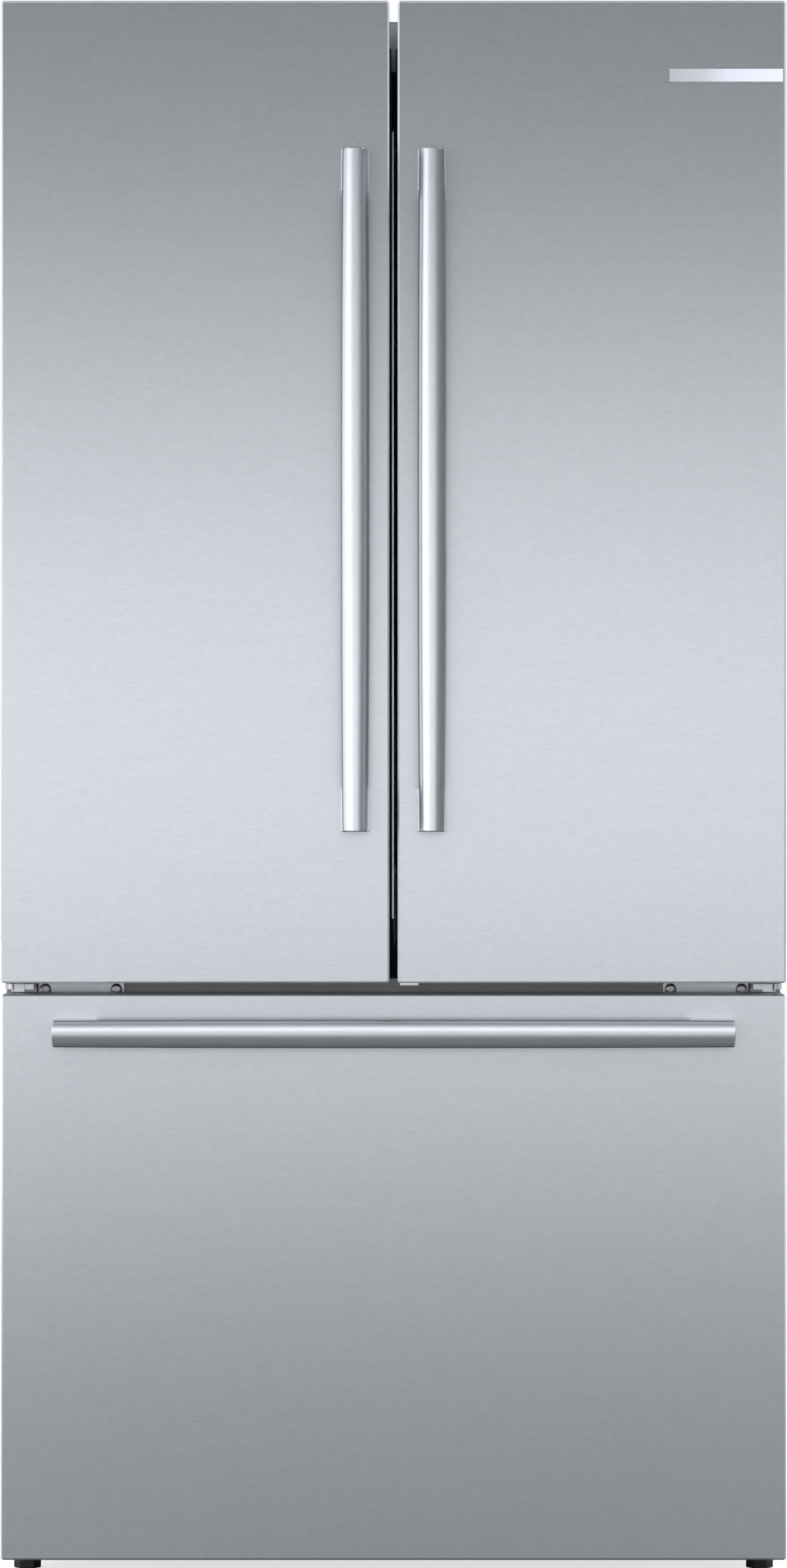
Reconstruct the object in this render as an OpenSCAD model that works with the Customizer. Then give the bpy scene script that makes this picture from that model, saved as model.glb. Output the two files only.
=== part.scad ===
// French door refrigerator: two insulated doors over a full width freezer drawer.
// Millimetres, +Z up, -Y is the front. The origin is on the floor, at the middle of
// the footprint, so the whole thing is as far in front of the origin as behind it.

/* [Cabinet] */
// Width of the cabinet and of the doors together
case_w = 905; // [860:1:940]
// Depth of the cabinet without its doors
case_d = 615; // [590:1:640]
// Height of the top of the cabinet above the floor
case_h = 1810; // [1790:1:1830]
// Height of the underside of the cabinet sides above the floor
case_lift = 30; // [28:1:32]
// Thickness of the outer sheet steel
sheet_t = 1.2; // [0.8:0.1:1.4]
// Thickness of the side insulation
side_foam_t = 44.3; // [40:0.1:50]
// Thickness of the insulation behind the fridge and the freezer
back_foam_t = 61.8; // [50:0.1:70]
// Thickness of the plastic inner liners
liner_t = 2; // [1.5:0.1:3]
// Height of the steel header above the fridge opening
header_h = 53; // [50:0.5:60]
// Thickness of the front steel frame pieces
frame_t = 3; // [2:0.5:4]
// Height of the inside floor of the fridge above the floor
fridge_floor_z = 712; // [708:1:720]
// Thickness of the insulated floor between fridge and freezer, with both liners
divider_t = 82; // [76:1:86]
// Height of the inside floor of the freezer above the floor
freezer_floor_z = 80; // [74:1:90]
// Depth of the machine compartment
machine_d = 203.8; // [196:0.1:212]
// Height of the machine compartment's ceiling above the floor
machine_h = 324; // [314:1:334]
// Thickness of the insulation around the machine compartment
machine_foam_t = 38; // [30:1:42]

/* [Doors and drawer] */
// Thickness of the doors and of the drawer front
door_t = 100; // [90:1:110]
// Distance between the cabinet front and the back of the doors
seal_gap = 13; // [12:0.5:16]
// Gap between the two doors
door_gap = 9.5; // [8:0.5:12]
// Height of the doors' top above the top of the cabinet
door_rise = 11.4; // [8:0.1:13]
// Height of the underside of the drawer front above the floor
drawer_z = 23.9; // [20:0.1:28]
// Height of the drawer front
drawer_h = 652.2; // [645:0.1:656]
// Gap between the drawer front and the doors
drawer_gap = 12.8; // [11:0.1:14]
// Thickness of the brushed steel skins
skin_t = 1.2; // [0.8:0.1:2]
// Depth of the folded sides of the steel skins
skin_d = 88; // [70:1:88]
// Bevel along the edges of the steel skins
edge_bevel = 2.5; // [1:0.1:3]
// Height of the plastic end caps of the doors
cap_h = 25; // [20:1:30]
// Depth of the raised front strip of the door's top cap
lip_d = 24; // [18:1:26]
// Drop of the door's top cap behind that strip
cap_drop = 13.4; // [12:0.1:15]
// Width of the magnetic gaskets
gasket_w = 18; // [14:1:18]
// Distance from the cabinet's side to the gaskets
gasket_inset = 22.5; // [21:0.5:25]

/* [Hinges] */
// Distance of the door pivots from the side of the cabinet
pivot_in = 20; // [18:0.5:22]
// Distance of the door pivots behind the front of the doors
pivot_back = 60; // [56:0.5:62]
// Radius of the hinge pins
pin_r = 5; // [4:0.5:6]
// Running clearance around the pins, on the radius
pin_play = 0.05; // [0.02:0.01:0.08]
// Thickness of the top hinge plates
top_plate_t = 4; // [3:0.5:5]
// Height of the hinge covers above the cabinet
cover_h = 19; // [16:1:22]
// Thickness of the centre hinge arms
arm_t = 6.7; // [5:0.1:7]
// Distance between the two screws of a centre hinge
hinge_screw_pitch = 83; // [70:1:90]

/* [Handles] */
// Distance from the front of the doors to the front of the handles
handle_out = 62; // [56:1:70]
// Width of the handle bars
handle_w = 32.4; // [28:0.1:34]
// Depth of the handle bars
handle_d = 24; // [20:1:28]
// Width of the handle end posts
post_w = 32.8; // [30:0.1:36]
// Length of the handle end posts
post_len = 49.5; // [40:0.5:60]
// Length of the door handles
door_handle_len = 783; // [700:1:860]
// Length of the drawer handle
drawer_handle_len = 782; // [700:1:840]
// Distance between the two door handles, from middle to middle
handle_pitch = 88; // [80:1:110]
// Height of the lower end of the door handles above the doors' lower edge
door_handle_up = 175; // [120:1:200]
// Distance of the middle of the drawer handle below the top of the drawer front
drawer_handle_down = 44; // [36:1:80]

/* [Inside] */
// Depth of the door bins
bin_d = 90; // [70:1:95]
// Height of the door bins
bin_h = 100; // [70:1:120]
// Height of the lowest door bin above the floor of the fridge
bin_up = 30; // [20:1:50]
// Wall thickness of the bins and drawers
tub_wall = 3; // [2.5:0.1:4]
// Height of the crisper drawers
crisper_h = 150; // [120:1:160]
// Height of the pantry drawer
pantry_h = 112; // [90:1:120]
// Width of the ice maker
ice_w = 150; // [120:1:180]
// Depth of the ice maker
ice_d = 230; // [180:1:250]
// Height of the ice maker
ice_h = 120; // [90:1:130]
// Depth of the space behind the freezer's rear cover
coil_space = 52; // [50:0.5:60]
// Height of the freezer basket
basket_h = 310; // [240:1:330]
// Depth of the freezer basket
basket_d = 340; // [300:1:350]
// Height of the sliding tray in the freezer basket
tray_h = 80; // [60:1:100]
// Running clearance between parts that slide or rest on each other
play = 0.3; // [0.2:0.05:0.5]

/* [Feet] */
// Width of the hexagonal feet across their corners
foot_w = 31.7; // [28:0.1:36]
// Distance of the feet from the sides of the cabinet
foot_in = 23.5; // [20:0.5:30]
// Distance of the feet behind the front of the doors
foot_back = 130; // [125:1:150]
// Radius of the rear rollers
roller_r = 18; // [14:0.5:20]

/* [Hidden] */
$fn = 48;

// where the main planes lie, from front to back
depth_all = handle_out + door_t + seal_gap + case_d;
case_back = depth_all / 2;
case_front = case_back - case_d;
door_back = case_front - seal_gap;
door_front = door_back - door_t;
handle_front = door_front - handle_out;
skin_back = door_front + skin_d;

// where the main planes lie, from the middle to the side
case_x = case_w / 2;
foam_x = case_x - sheet_t;
liner_x = foam_x - side_foam_t;
inside_x = liner_x - liner_t;
door_x = door_gap / 2;

// heights
door_z = drawer_z + drawer_h + drawer_gap;
door_top = case_h + door_rise;
drawer_top = drawer_z + drawer_h;
cap_top = door_top - cap_drop;
header_z = case_h - header_h;
fridge_top = header_z;
freezer_top = fridge_floor_z - divider_t;
floor_foam_z = case_lift + 12;
rail_top = door_z + 3.5;

// rear of the compartments and of the machine compartment
foam_back = case_back - sheet_t;
liner_back = foam_back - back_foam_t;
inside_back = liner_back - liner_t;
machine_front = foam_back - machine_d;
step_front = machine_front - machine_foam_t;
step_top = machine_h + machine_foam_t;

// door hinges
pivot_x = case_x - pivot_in;
pivot_y = door_front + pivot_back;
pin_depth = 20;

// gaskets
gasket_y = case_front - play;
gasket_x = case_x - gasket_inset;
gasket_top = header_z + gasket_w + 3;
gasket_low = door_z + 3.1;
left_seal_x = 2;
right_seal_x = 2.3;

// mullion, hinged to the left door
mullion_pivot_x = 44;
mullion_pivot_y = case_front + 10;
mullion_t = 20;
mullion_tip = 0.6;
mullion_z = fridge_floor_z + 4;
mullion_top = header_z - 7;

// ---- helpers ----

// box between two corners
module block(x, y, z) {
  translate([x[0], y[0], z[0]]) cube([x[1] - x[0], y[1] - y[0], z[1] - z[0]]);
}

// the same piece on the left and on the right
module both_sides() {
  children();
  mirror([1, 0, 0]) children();
}

// open tub: outer ranges and wall thickness, open at the top
module tub(x, y, z, wall) {
  difference() {
    block(x, y, z);
    block([x[0] + wall, x[1] - wall], [y[0] + wall, y[1] - wall], [z[0] + wall, z[1] + 1]);
  }
}

// upright rectangular ring in the XZ plane
module ring(x, y, z, w) {
  difference() {
    block(x, y, z);
    block([x[0] + w, x[1] - w], [y[0] - 1, y[1] + 1], [z[0] + w, z[1] - w]);
  }
}

// round bar along X, Y or Z from a point
module bar_x(p, r, len) { translate(p) rotate([0, 90, 0]) cylinder(r = r, h = len); }
module bar_y(p, r, len) { translate(p) rotate([-90, 0, 0]) cylinder(r = r, h = len); }
module bar_z(p, r, len) { translate(p) cylinder(r = r, h = len); }

// ---- cabinet shell ----

// left side sheet with its folded front edge
module side_sheet() {
  difference() {
    block([-case_x, -liner_x], [case_front, case_back], [case_lift, case_h - sheet_t]);
    block([-foam_x, 0], [case_front + sheet_t, case_back + 1], [0, case_h]);
  }
}

module left_side_panel() { color([0.36, 0.37, 0.38]) side_sheet(); }
module right_side_panel() { color([0.36, 0.37, 0.38]) mirror([1, 0, 0]) side_sheet(); }

module top_panel() {
  color([0.36, 0.37, 0.38])
    block([-case_x, case_x], [case_front, case_back], [case_h - sheet_t, case_h]);
}

module back_panel() {
  color([0.62, 0.63, 0.64])
    block([-foam_x, foam_x], [foam_back, case_back], [step_top, case_h - sheet_t]);
}

pan_t = 4;
pan_z = floor_foam_z - pan_t;
rail_d = 20;
rail_w = 38;
roller_w = 20;
roller_x = case_x - 52.5;
roller_y = case_back - 65;
axle_r = 4;
cheek_t = 3;

// bottom pan with its front rail, side skids and roller brackets
module base_pan() {
  color([0.3, 0.31, 0.32]) {
    block([-foam_x, foam_x], [case_front + rail_d, foam_back], [pan_z, floor_foam_z]);
    block([-liner_x, liner_x], [case_front, case_front + rail_d], [case_lift, freezer_floor_z - liner_t]);
    both_sides() {
      block([foam_x - rail_w, foam_x], [case_front + sheet_t, roller_y - 30], [case_lift - 4, pan_z]);
      for (side = [-1, 1])
        translate([roller_x + side * (roller_w / 2 + 0.5 + cheek_t / 2), 0, 0])
          block([-cheek_t / 2, cheek_t / 2], [roller_y - 12, roller_y + 12], [roller_r - 8, pan_z]);
      bar_x([roller_x - roller_w / 2 - 2, roller_y, roller_r], axle_r, roller_w + 4);
    }
  }
}

module side_insulation() {
  color([0.93, 0.87, 0.68])
    both_sides()
      block([liner_x, foam_x], [case_front + sheet_t, foam_back], [floor_foam_z, case_h - sheet_t]);
}

// insulated roof, floor between the compartments, freezer floor and machine ceiling
module level_insulation() {
  color([0.93, 0.87, 0.68]) {
    block([-liner_x, liner_x], [case_front + frame_t, liner_back],
      [fridge_top + liner_t, case_h - sheet_t]);
    block([-liner_x, liner_x], [case_front + frame_t, liner_back],
      [freezer_top + liner_t, fridge_floor_z - liner_t]);
    block([-liner_x, liner_x], [case_front + rail_d, step_front],
      [floor_foam_z, freezer_floor_z - liner_t]);
    block([-liner_x, liner_x], [step_front, liner_back], [machine_h, step_top]);
  }
}

// insulated back, and the wall in front of the machine compartment
module back_insulation() {
  color([0.93, 0.87, 0.68]) {
    block([-liner_x, liner_x], [liner_back, foam_back], [machine_h, case_h - sheet_t]);
    block([-liner_x, liner_x], [step_front, machine_front], [floor_foam_z, machine_h]);
  }
}

module fridge_liner() {
  color([0.95, 0.96, 0.96]) difference() {
    block([-liner_x, liner_x], [case_front + frame_t, liner_back],
      [fridge_floor_z - liner_t, fridge_top + liner_t]);
    block([-inside_x, inside_x], [case_front, inside_back], [fridge_floor_z, fridge_top]);
  }
}

// freezer liner, with the step over the machine compartment
module freezer_liner() {
  color([0.95, 0.96, 0.96]) difference() {
    block([-liner_x, liner_x], [case_front + frame_t, liner_back],
      [freezer_floor_z - liner_t, freezer_top + liner_t]);
    block([-inside_x, inside_x], [case_front, step_front - liner_t], [freezer_floor_z, freezer_top]);
    block([-inside_x, inside_x], [case_front, inside_back], [step_top + liner_t, freezer_top]);
    block([-liner_x - 1, liner_x + 1], [step_front, case_back], [0, step_top]);
    block([-liner_x - 1, liner_x + 1], [case_front, case_front + rail_d], [0, freezer_floor_z]);
  }
}

guide_w = 34;
guide_drop = 5;

// header over the fridge opening, with the block that guides the mullion
module front_header() {
  color([0.45, 0.46, 0.47]) {
    block([-liner_x, liner_x], [case_front, case_front + frame_t], [header_z, case_h - sheet_t]);
    block([-guide_w / 2, guide_w / 2], [case_front + 1, case_front + frame_t],
      [header_z - guide_drop, header_z]);
  }
}

// steel rail between the compartments, with a sill that the door gaskets rest on
module cross_rail() {
  color([0.3, 0.31, 0.32])
    block([-liner_x, liner_x], [case_front, case_front + frame_t],
      [freezer_top, fridge_floor_z]);
}

// ---- hinges, feet and rollers ----

top_arm_w = 24;
screw_head_r = 6.5;
screw_head_t = 3;
top_plate_len = 70;

// plate on the cabinet top that reaches over the door, with the pin that drops into it
module top_hinge() {
  block([pivot_x - top_arm_w / 2, pivot_x + top_arm_w / 2], [pivot_y, case_front + 20],
    [case_h, case_h + top_plate_t]);
  bar_z([pivot_x, pivot_y, case_h], top_arm_w / 2, top_plate_t);
  block([pivot_x - 50, pivot_x + 12], [case_front + 8, case_front + 8 + top_plate_len],
    [case_h, case_h + top_plate_t]);
  bar_z([pivot_x, pivot_y, cap_top - pin_depth], pin_r, case_h + top_plate_t - cap_top + pin_depth);
}

module top_hinges() { color([0.7, 0.71, 0.72]) both_sides() top_hinge(); }

cover_t = 2;
cover_x = [pivot_x - 60, case_x - 2];
cover_d = 95;
cover_y = [case_front + 1, case_front + 1 + cover_d];

// hollow cover over a top hinge, with a nose over the hinge arm
module hinge_cover() {
  top = case_h + cover_h;
  nose_top = top - 4;
  nose_r = top_arm_w / 2 + 1;
  difference() {
    block(cover_x, cover_y, [case_h, top]);
    block([cover_x[0] + cover_t, cover_x[1] - cover_t], [cover_y[0] + cover_t, cover_y[1] - cover_t],
      [case_h - 1, top - cover_t]);
    block([pivot_x - nose_r, pivot_x + nose_r], [cover_y[0] - 1, cover_y[0] + cover_t + 1],
      [case_h - 1, nose_top - cover_t]);
  }
  block([pivot_x - nose_r, pivot_x + nose_r], [pivot_y, cover_y[0] + cover_t],
    [nose_top - cover_t, nose_top]);
  bar_z([pivot_x, pivot_y, nose_top - cover_t], nose_r, cover_t);
}

module hinge_covers() { color([0.42, 0.43, 0.44]) both_sides() hinge_cover(); }

centre_plate_len = 100;
centre_plate_in = 17.5;
centre_plate_x = [pivot_x - centre_plate_in - centre_plate_len, pivot_x - centre_plate_in];
centre_plate_t = 3;
arm_top = door_z - 2;
arm_low = arm_top - arm_t;
arm_r = 14;

// plate on the cross rail with an arm under the door and the pin that the door turns on
module centre_hinge() {
  plate_y = [case_front - centre_plate_t, case_front];
  arm_x = [pivot_x - 15.5, pivot_x + 14.5];
  foot_z = freezer_top + 22;
  block(centre_plate_x, plate_y, [foot_z, arm_top]);
  block([centre_plate_x[0], arm_x[1]], plate_y, [foot_z, foot_z + 14]);
  block(arm_x, plate_y, [foot_z, arm_top]);
  block(arm_x, [pivot_y - arm_r + 4, case_front], [arm_low, arm_top]);
  block([pivot_x - 15.5, pivot_x - 4.9], [pivot_y - arm_r, pivot_y], [arm_low, arm_top]);
  block([pivot_x - 4.9, pivot_x + 6.5], [pivot_y - arm_r - 2, pivot_y], [arm_low - 2.6, arm_top]);
  bar_z([pivot_x + 10.8, pivot_y - arm_r + 4, arm_low], 3.3, arm_t);
  block([pivot_x + 14.5, pivot_x + 18.5], [pivot_y - 4, pivot_y + 20], [arm_low, arm_top]);
  bar_z([pivot_x, pivot_y, arm_low], pin_r, arm_t + 2 + pin_depth);
}

module centre_hinges() { color([0.72, 0.73, 0.74]) both_sides() centre_hinge(); }

hinge_screw_x = pivot_x - centre_plate_in - 8;
hinge_screw_z = door_z - 10.4;

// round headed screws of the hinges
module screws() {
  color([0.6, 0.61, 0.62]) both_sides() {
    for (i = [0, 1])
      bar_y([hinge_screw_x - i * hinge_screw_pitch, case_front - centre_plate_t - screw_head_t,
        hinge_screw_z], screw_head_r, screw_head_t);
    for (i = [0:2])
      bar_z([pivot_x - 40 + i * 20, case_front + 60, case_h + top_plate_t], screw_head_r - 1,
        screw_head_t);
  }
}

foot_h = 12;
foot_bevel = 1.5;

// adjustable hexagonal feet with their threaded studs
module front_feet() {
  color([0.1, 0.1, 0.1]) both_sides() translate([case_x - foot_in, door_front + foot_back, 0]) {
    cylinder(h = foot_bevel, r1 = foot_w / 2 - foot_bevel, r2 = foot_w / 2, $fn = 6);
    translate([0, 0, foot_bevel]) cylinder(h = foot_h - foot_bevel, r = foot_w / 2, $fn = 6);
    translate([0, 0, foot_h]) cylinder(h = case_lift - 4 - foot_h, r = 5);
  }
}

// both rear rollers turn about one line
module rear_rollers() {
  color([0.15, 0.15, 0.15]) both_sides() difference() {
    bar_x([roller_x - roller_w / 2, roller_y, roller_r], roller_r, roller_w);
    bar_x([roller_x - roller_w, roller_y, roller_r], axle_r + pin_play, roller_w * 2);
  }
}

// ---- inside the fridge ----

shelf_y = [case_front + 160, inside_back - 19];
half_x = [3, inside_x - 4];
track_w = 20;
track_x = 210;
shelf_t = 14;
glass_t = 4;
trim = 16;
crisper_z = fridge_floor_z + 6 + pantry_h + 16;
cover_z = crisper_z + crisper_h + 4;
cover_plate_t = 12;
shelf_step = (fridge_top - cover_z) / 4;
shelf_z = [for (i = [1, 2, 3]) cover_z + i * shelf_step];

// steel ladders on the back wall that carry the shelves
module shelf_tracks() {
  color([0.8, 0.81, 0.82])
    for (side = [-1, 1])
      difference() {
        block([side * track_x - track_w / 2, side * track_x + track_w / 2],
          [inside_back - 4, inside_back], [cover_z + 40, fridge_top - 40]);
        for (z = [cover_z + 60 : 60 : fridge_top - 80])
          block([side * track_x - 3, side * track_x + 3], [inside_back - 5, inside_back + 1],
            [z, z + 24]);
      }
}

// frames of the half width shelves, and the hollow that the glass drops into
module shelf_frame(z) {
  difference() {
    block(half_x, shelf_y, [z, z + shelf_t]);
    block([half_x[0] + trim, half_x[1] - trim], [shelf_y[0] + trim, shelf_y[1] - trim],
      [z - 1, z + shelf_t + 1]);
    block([half_x[0] + trim / 2, half_x[1] - trim / 2],
      [shelf_y[0] + trim / 2, shelf_y[1] - trim / 2], [z + shelf_t - glass_t, z + shelf_t + 1]);
  }
  block([track_x - 6, track_x + 6], [shelf_y[0] + 60, inside_back - 4], [z - 12, z]);
}

module shelf_frames() {
  color([0.9, 0.92, 0.93]) both_sides() for (z = shelf_z) shelf_frame(z);
}

module shelf_glass() {
  color([0.8, 0.9, 0.9, 0.5]) both_sides() for (z = shelf_z)
    block([half_x[0] + trim / 2, half_x[1] - trim / 2],
      [shelf_y[0] + trim / 2, shelf_y[1] - trim / 2], [z + shelf_t - glass_t, z + shelf_t]);
}

deck_in = 165;
deck_y = [case_front + deck_in, inside_back];
deck_t = 8;
wall_x = 6;

// cover over the crispers, the deck under them and the wall between them
module crisper_frame() {
  color([0.88, 0.93, 0.94]) {
    block([-inside_x, inside_x], deck_y, [cover_z, cover_z + cover_plate_t]);
    block([-inside_x, inside_x], deck_y, [crisper_z - 4 - deck_t, crisper_z - 4]);
    block([-wall_x, wall_x], deck_y, [crisper_z - 4, cover_z]);
  }
}

tub_front = deck_y[0];
grip_d = 8;

// drawer tub with a grip along the top of its front
module fridge_drawer(x, z, h) {
  tub(x, [tub_front, inside_back - 20], [z, z + h], tub_wall);
  block([x[0] + 20, x[1] - 20], [tub_front - grip_d, tub_front], [z + h - 16, z + h]);
}

crisper_x = [wall_x + 2, inside_x - 5];

module left_crisper() {
  color([0.85, 0.93, 0.96, 0.7]) mirror([1, 0, 0])
    fridge_drawer(crisper_x, crisper_z - 4 + play, crisper_h);
}
module right_crisper() {
  color([0.85, 0.93, 0.96, 0.7]) fridge_drawer(crisper_x, crisper_z - 4 + play, crisper_h);
}
module pantry_drawer() {
  color([0.85, 0.93, 0.96, 0.7])
    fridge_drawer([-crisper_x[1], crisper_x[1]], fridge_floor_z + play, pantry_h);
}

duct_w = 200;
duct_t = 18;
fan_r = 46;
fan_z = freezer_top - fan_r - 24;
plate_y = inside_back - coil_space;
motor_y = inside_back - coil_space / 2;
fan_h = 14;
fan_hub_r = 14;
motor_r = 18;
shaft_r = 3;

// air duct on the fridge's back wall, and the cover in front of the evaporator
module air_covers() {
  color([0.94, 0.95, 0.95]) {
    difference() {
      block([-duct_w / 2, duct_w / 2], [inside_back - duct_t, inside_back],
        [cover_z + cover_plate_t, fridge_top]);
      block([-duct_w / 2 + 3, duct_w / 2 - 3], [inside_back - duct_t + 3, inside_back + 1],
        [cover_z + cover_plate_t - 1, fridge_top - 3]);
      for (i = [0 : 2])
        for (side = [-1, 1])
          block([side * 55 - 25, side * 55 + 25], [inside_back - duct_t - 1, inside_back - duct_t + 4],
            [shelf_z[i] + 60, shelf_z[i] + 68]);
    }
    difference() {
      block([-inside_x, inside_x], [plate_y, plate_y + 3], [step_top + liner_t, freezer_top]);
      for (i = [-4 : 4])
        block([-40, 40], [plate_y - 1, plate_y + 4], [fan_z + i * 9 - 2, fan_z + i * 9 + 2]);
    }
  }
}

coil_r = 5;
coil_y = inside_back - 22;

// finned coil that cools the air, with the fan's motor above it
module evaporator() {
  color([0.8, 0.81, 0.82]) {
    for (i = [0 : 4])
      bar_x([-180, coil_y, step_top + 30 + i * 24], coil_r, 360);
    for (i = [0 : 11])
      block([-170 + i * 30.7, -168.5 + i * 30.7], [coil_y - 14, inside_back],
        [step_top + 14, step_top + 142]);
    bar_y([0, motor_y, fan_z], motor_r, inside_back - motor_y);
    bar_y([0, motor_y - fan_h - 2, fan_z], shaft_r, fan_h + 6);
  }
}

blade_t = 3;

// fan wheel: hub with a bore and pitched blades
module fan(r, hub_r, hub_h, bore_r, blades) {
  difference() {
    union() {
      cylinder(r = hub_r, h = hub_h);
      for (i = [0 : blades - 1])
        rotate([0, 0, i * 360 / blades])
          translate([hub_r - 3, -r / 4, hub_h / 2 - blade_t / 2])
            rotate([8, 0, 0]) cube([r - hub_r + 2, r / 2, blade_t]);
    }
    translate([0, 0, -1]) cylinder(r = bore_r, h = hub_h + 2);
  }
}

module evaporator_fan() {
  color([0.2, 0.2, 0.2])
    translate([0, motor_y - fan_h - 1, fan_z]) rotate([-90, 0, 0])
      fan(fan_r, fan_hub_r, fan_h, shaft_r + pin_play, 5);
}

ice_y = [case_front + 150, case_front + 150 + ice_d];
ice_wall = 10;
ice_end = 15;

// ice maker under the freezer's ceiling, with its mould open to the right
module ice_maker() {
  color([0.85, 0.86, 0.87]) {
    difference() {
      block([-inside_x, ice_w - inside_x], ice_y, [freezer_top - ice_h, freezer_top]);
      block([ice_wall - inside_x, ice_w + 1 - inside_x], [ice_y[0] + ice_end, ice_y[1] - ice_end],
        [freezer_top - ice_h + 50, freezer_top - ice_wall]);
    }
  }
}

// ---- machine compartment ----

rail_x = [inside_x - 14, inside_x];
rail_z = [300, 340];
rail_y = [case_front + 4, step_front - liner_t];

// rails on the freezer walls that the drawer runs on
module freezer_rails() {
  color([0.75, 0.76, 0.77]) both_sides() difference() {
    block(rail_x, rail_y, rail_z);
    block([rail_x[0] - 1, rail_x[1] - 3], [rail_y[0] - 1, rail_y[1] + 1],
      [rail_z[0] + 8, rail_z[1] - 8]);
  }
}

comp_x = liner_x - 187;
comp_y = (machine_front + foam_back) / 2;
comp_r = 78;
comp_shell_h = 110;
comp_dome_h = 50;
comp_plate_w = 200;
comp_plate_d = 150;
grommet_h = 12;

// sealed compressor on its plate and four grommets
module compressor() {
  color([0.12, 0.12, 0.13]) translate([comp_x, comp_y, floor_foam_z]) {
    for (sx = [-1, 1])
      for (sy = [-1, 1])
        translate([sx * (comp_plate_w / 2 - 15), sy * (comp_plate_d / 2 - 15), 0])
          cylinder(r = 10, h = grommet_h);
    translate([-comp_plate_w / 2, -comp_plate_d / 2, grommet_h])
      cube([comp_plate_w, comp_plate_d, 3]);
    translate([0, 0, grommet_h + 3]) rotate_extrude()
      polygon(concat([[0, 0], [comp_r, 0], [comp_r, comp_shell_h]],
        [for (a = [15 : 15 : 75]) [comp_r * cos(a), comp_shell_h + comp_dome_h * sin(a)]],
        [[0, comp_shell_h + comp_dome_h]]));
  }
}

cond_w = 200;
cond_x = [17 - liner_x, 17 + cond_w - liner_x];
cond_h = 230;
fin_count = 10;
fin_t = 1.2;
fan_axis_z = floor_foam_z + 125;
fan_wheel_r = 75;
fan_wheel_h = 20;
fan_shaft_r = 3;
fan_motor_x = -60;
fan_motor_len = 40;
cond_y = [machine_front + 20, foam_back - 20];

// finned condenser coil, with the stand of its fan motor
module condenser() {
  color([0.15, 0.15, 0.16]) {
    for (iz = [0 : 5])
      for (iy = [0 : 2])
        bar_x([cond_x[0], cond_y[0] + 30 + iy * 50, floor_foam_z + 40 + iz * 34], 4,
          cond_x[1] - cond_x[0]);
    for (i = [0 : fin_count - 1]) {
      fin_x = cond_x[0] + 4 + i * (cond_w - 8 - fin_t) / (fin_count - 1);
      block([fin_x, fin_x + fin_t], cond_y, [floor_foam_z, floor_foam_z + cond_h]);
    }
    block([fan_motor_x, fan_motor_x + 30], [comp_y - 15, comp_y + 15], [floor_foam_z, fan_axis_z - 15]);
    bar_x([fan_motor_x, comp_y, fan_axis_z], 20, fan_motor_len);
    bar_x([fan_motor_x - fan_wheel_h - 5, comp_y, fan_axis_z], fan_shaft_r, fan_motor_len);
  }
}

module condenser_fan() {
  color([0.2, 0.2, 0.2])
    translate([fan_motor_x - fan_wheel_h - 4, comp_y, fan_axis_z]) rotate([0, 90, 0])
      fan(fan_wheel_r, 18, fan_wheel_h, fan_shaft_r + pin_play, 6);
}

module drain_pan() {
  color([0.2, 0.2, 0.21])
    tub([0, comp_x - comp_plate_w / 2 - 10], [machine_front + 12, foam_back - 60], [floor_foam_z, floor_foam_z + 30], tub_wall);
}

valve_x = liner_x - 57;
valve_z = 250;
inlet_r = 13.2;
inlet_len = 14;

// water valve on a bracket, with its threaded inlet through the rear cover
module water_valve() {
  color([0.75, 0.62, 0.32]) difference() {
    union() {
      block([valve_x - 25, valve_x + 25], [foam_back - 50, foam_back - inlet_len],
        [valve_z - 22, valve_z + 22]);
      bar_y([valve_x, foam_back - inlet_len, valve_z], inlet_r, inlet_len);
      block([valve_x - 3, valve_x + 3], [foam_back - 48, foam_back - 30],
        [valve_z + 22, machine_h]);
    }
    bar_y([valve_x, foam_back - inlet_len - 4, valve_z], 8, inlet_len + 8);
  }
}

gland_x = 60;
gland_z = 120;
gland_r = 11;
gland_bore_r = 4.5;

// gland that the power lead passes through
module power_gland() {
  color([0.1, 0.1, 0.1]) difference() {
    union() {
      bar_y([gland_x, foam_back - 14, gland_z], gland_r, 14 + sheet_t);
      bar_y([gland_x, foam_back - 6, gland_z], gland_r + 4, 6);
    }
    bar_y([gland_x, foam_back - 20, gland_z], gland_bore_r, 30);
  }
}

// louvred cover of the machine compartment
module rear_cover() {
  color([0.25, 0.25, 0.26]) difference() {
    block([-foam_x, foam_x], [foam_back, case_back], [case_lift, step_top]);
    for (row = [0 : 3])
      for (i = [0 : 11])
        block([-386 + i * 17, -378 + i * 17], [foam_back - 1, case_back + 1],
          [70 + row * 60, 110 + row * 60]);
    bar_y([valve_x, foam_back - 1, valve_z], inlet_r + 8, sheet_t + 2);
    bar_y([gland_x, foam_back - 1, gland_z], gland_r, sheet_t + 2);
  }
}

// ---- doors, drawn as the right one; the left one is mirrored ----

// panel with its front edges bevelled on all four sides
module panel_form(x, y, z, b) {
  intersection() {
    translate([0, 0, z[0]]) linear_extrude(z[1] - z[0]) polygon([[x[0], y[1]], [x[0], y[0] + b],
      [x[0] + b, y[0]], [x[1] - b, y[0]], [x[1], y[0] + b], [x[1], y[1]]]);
    translate([x[0], 0, 0]) rotate([90, 0, 90]) linear_extrude(x[1] - x[0])
      polygon([[y[1], z[0]], [y[0] + b, z[0]], [y[0], z[0] + b], [y[0], z[1] - b],
        [y[0] + b, z[1]], [y[1], z[1]]]);
  }
}

// the space inside a skin, as far back as y
module skin_inside(x, y, z) {
  panel_form([x[0] + skin_t, x[1] - skin_t], [door_front + skin_t, y],
    [z[0] + skin_t, z[1] - skin_t], edge_bevel);
}

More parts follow.
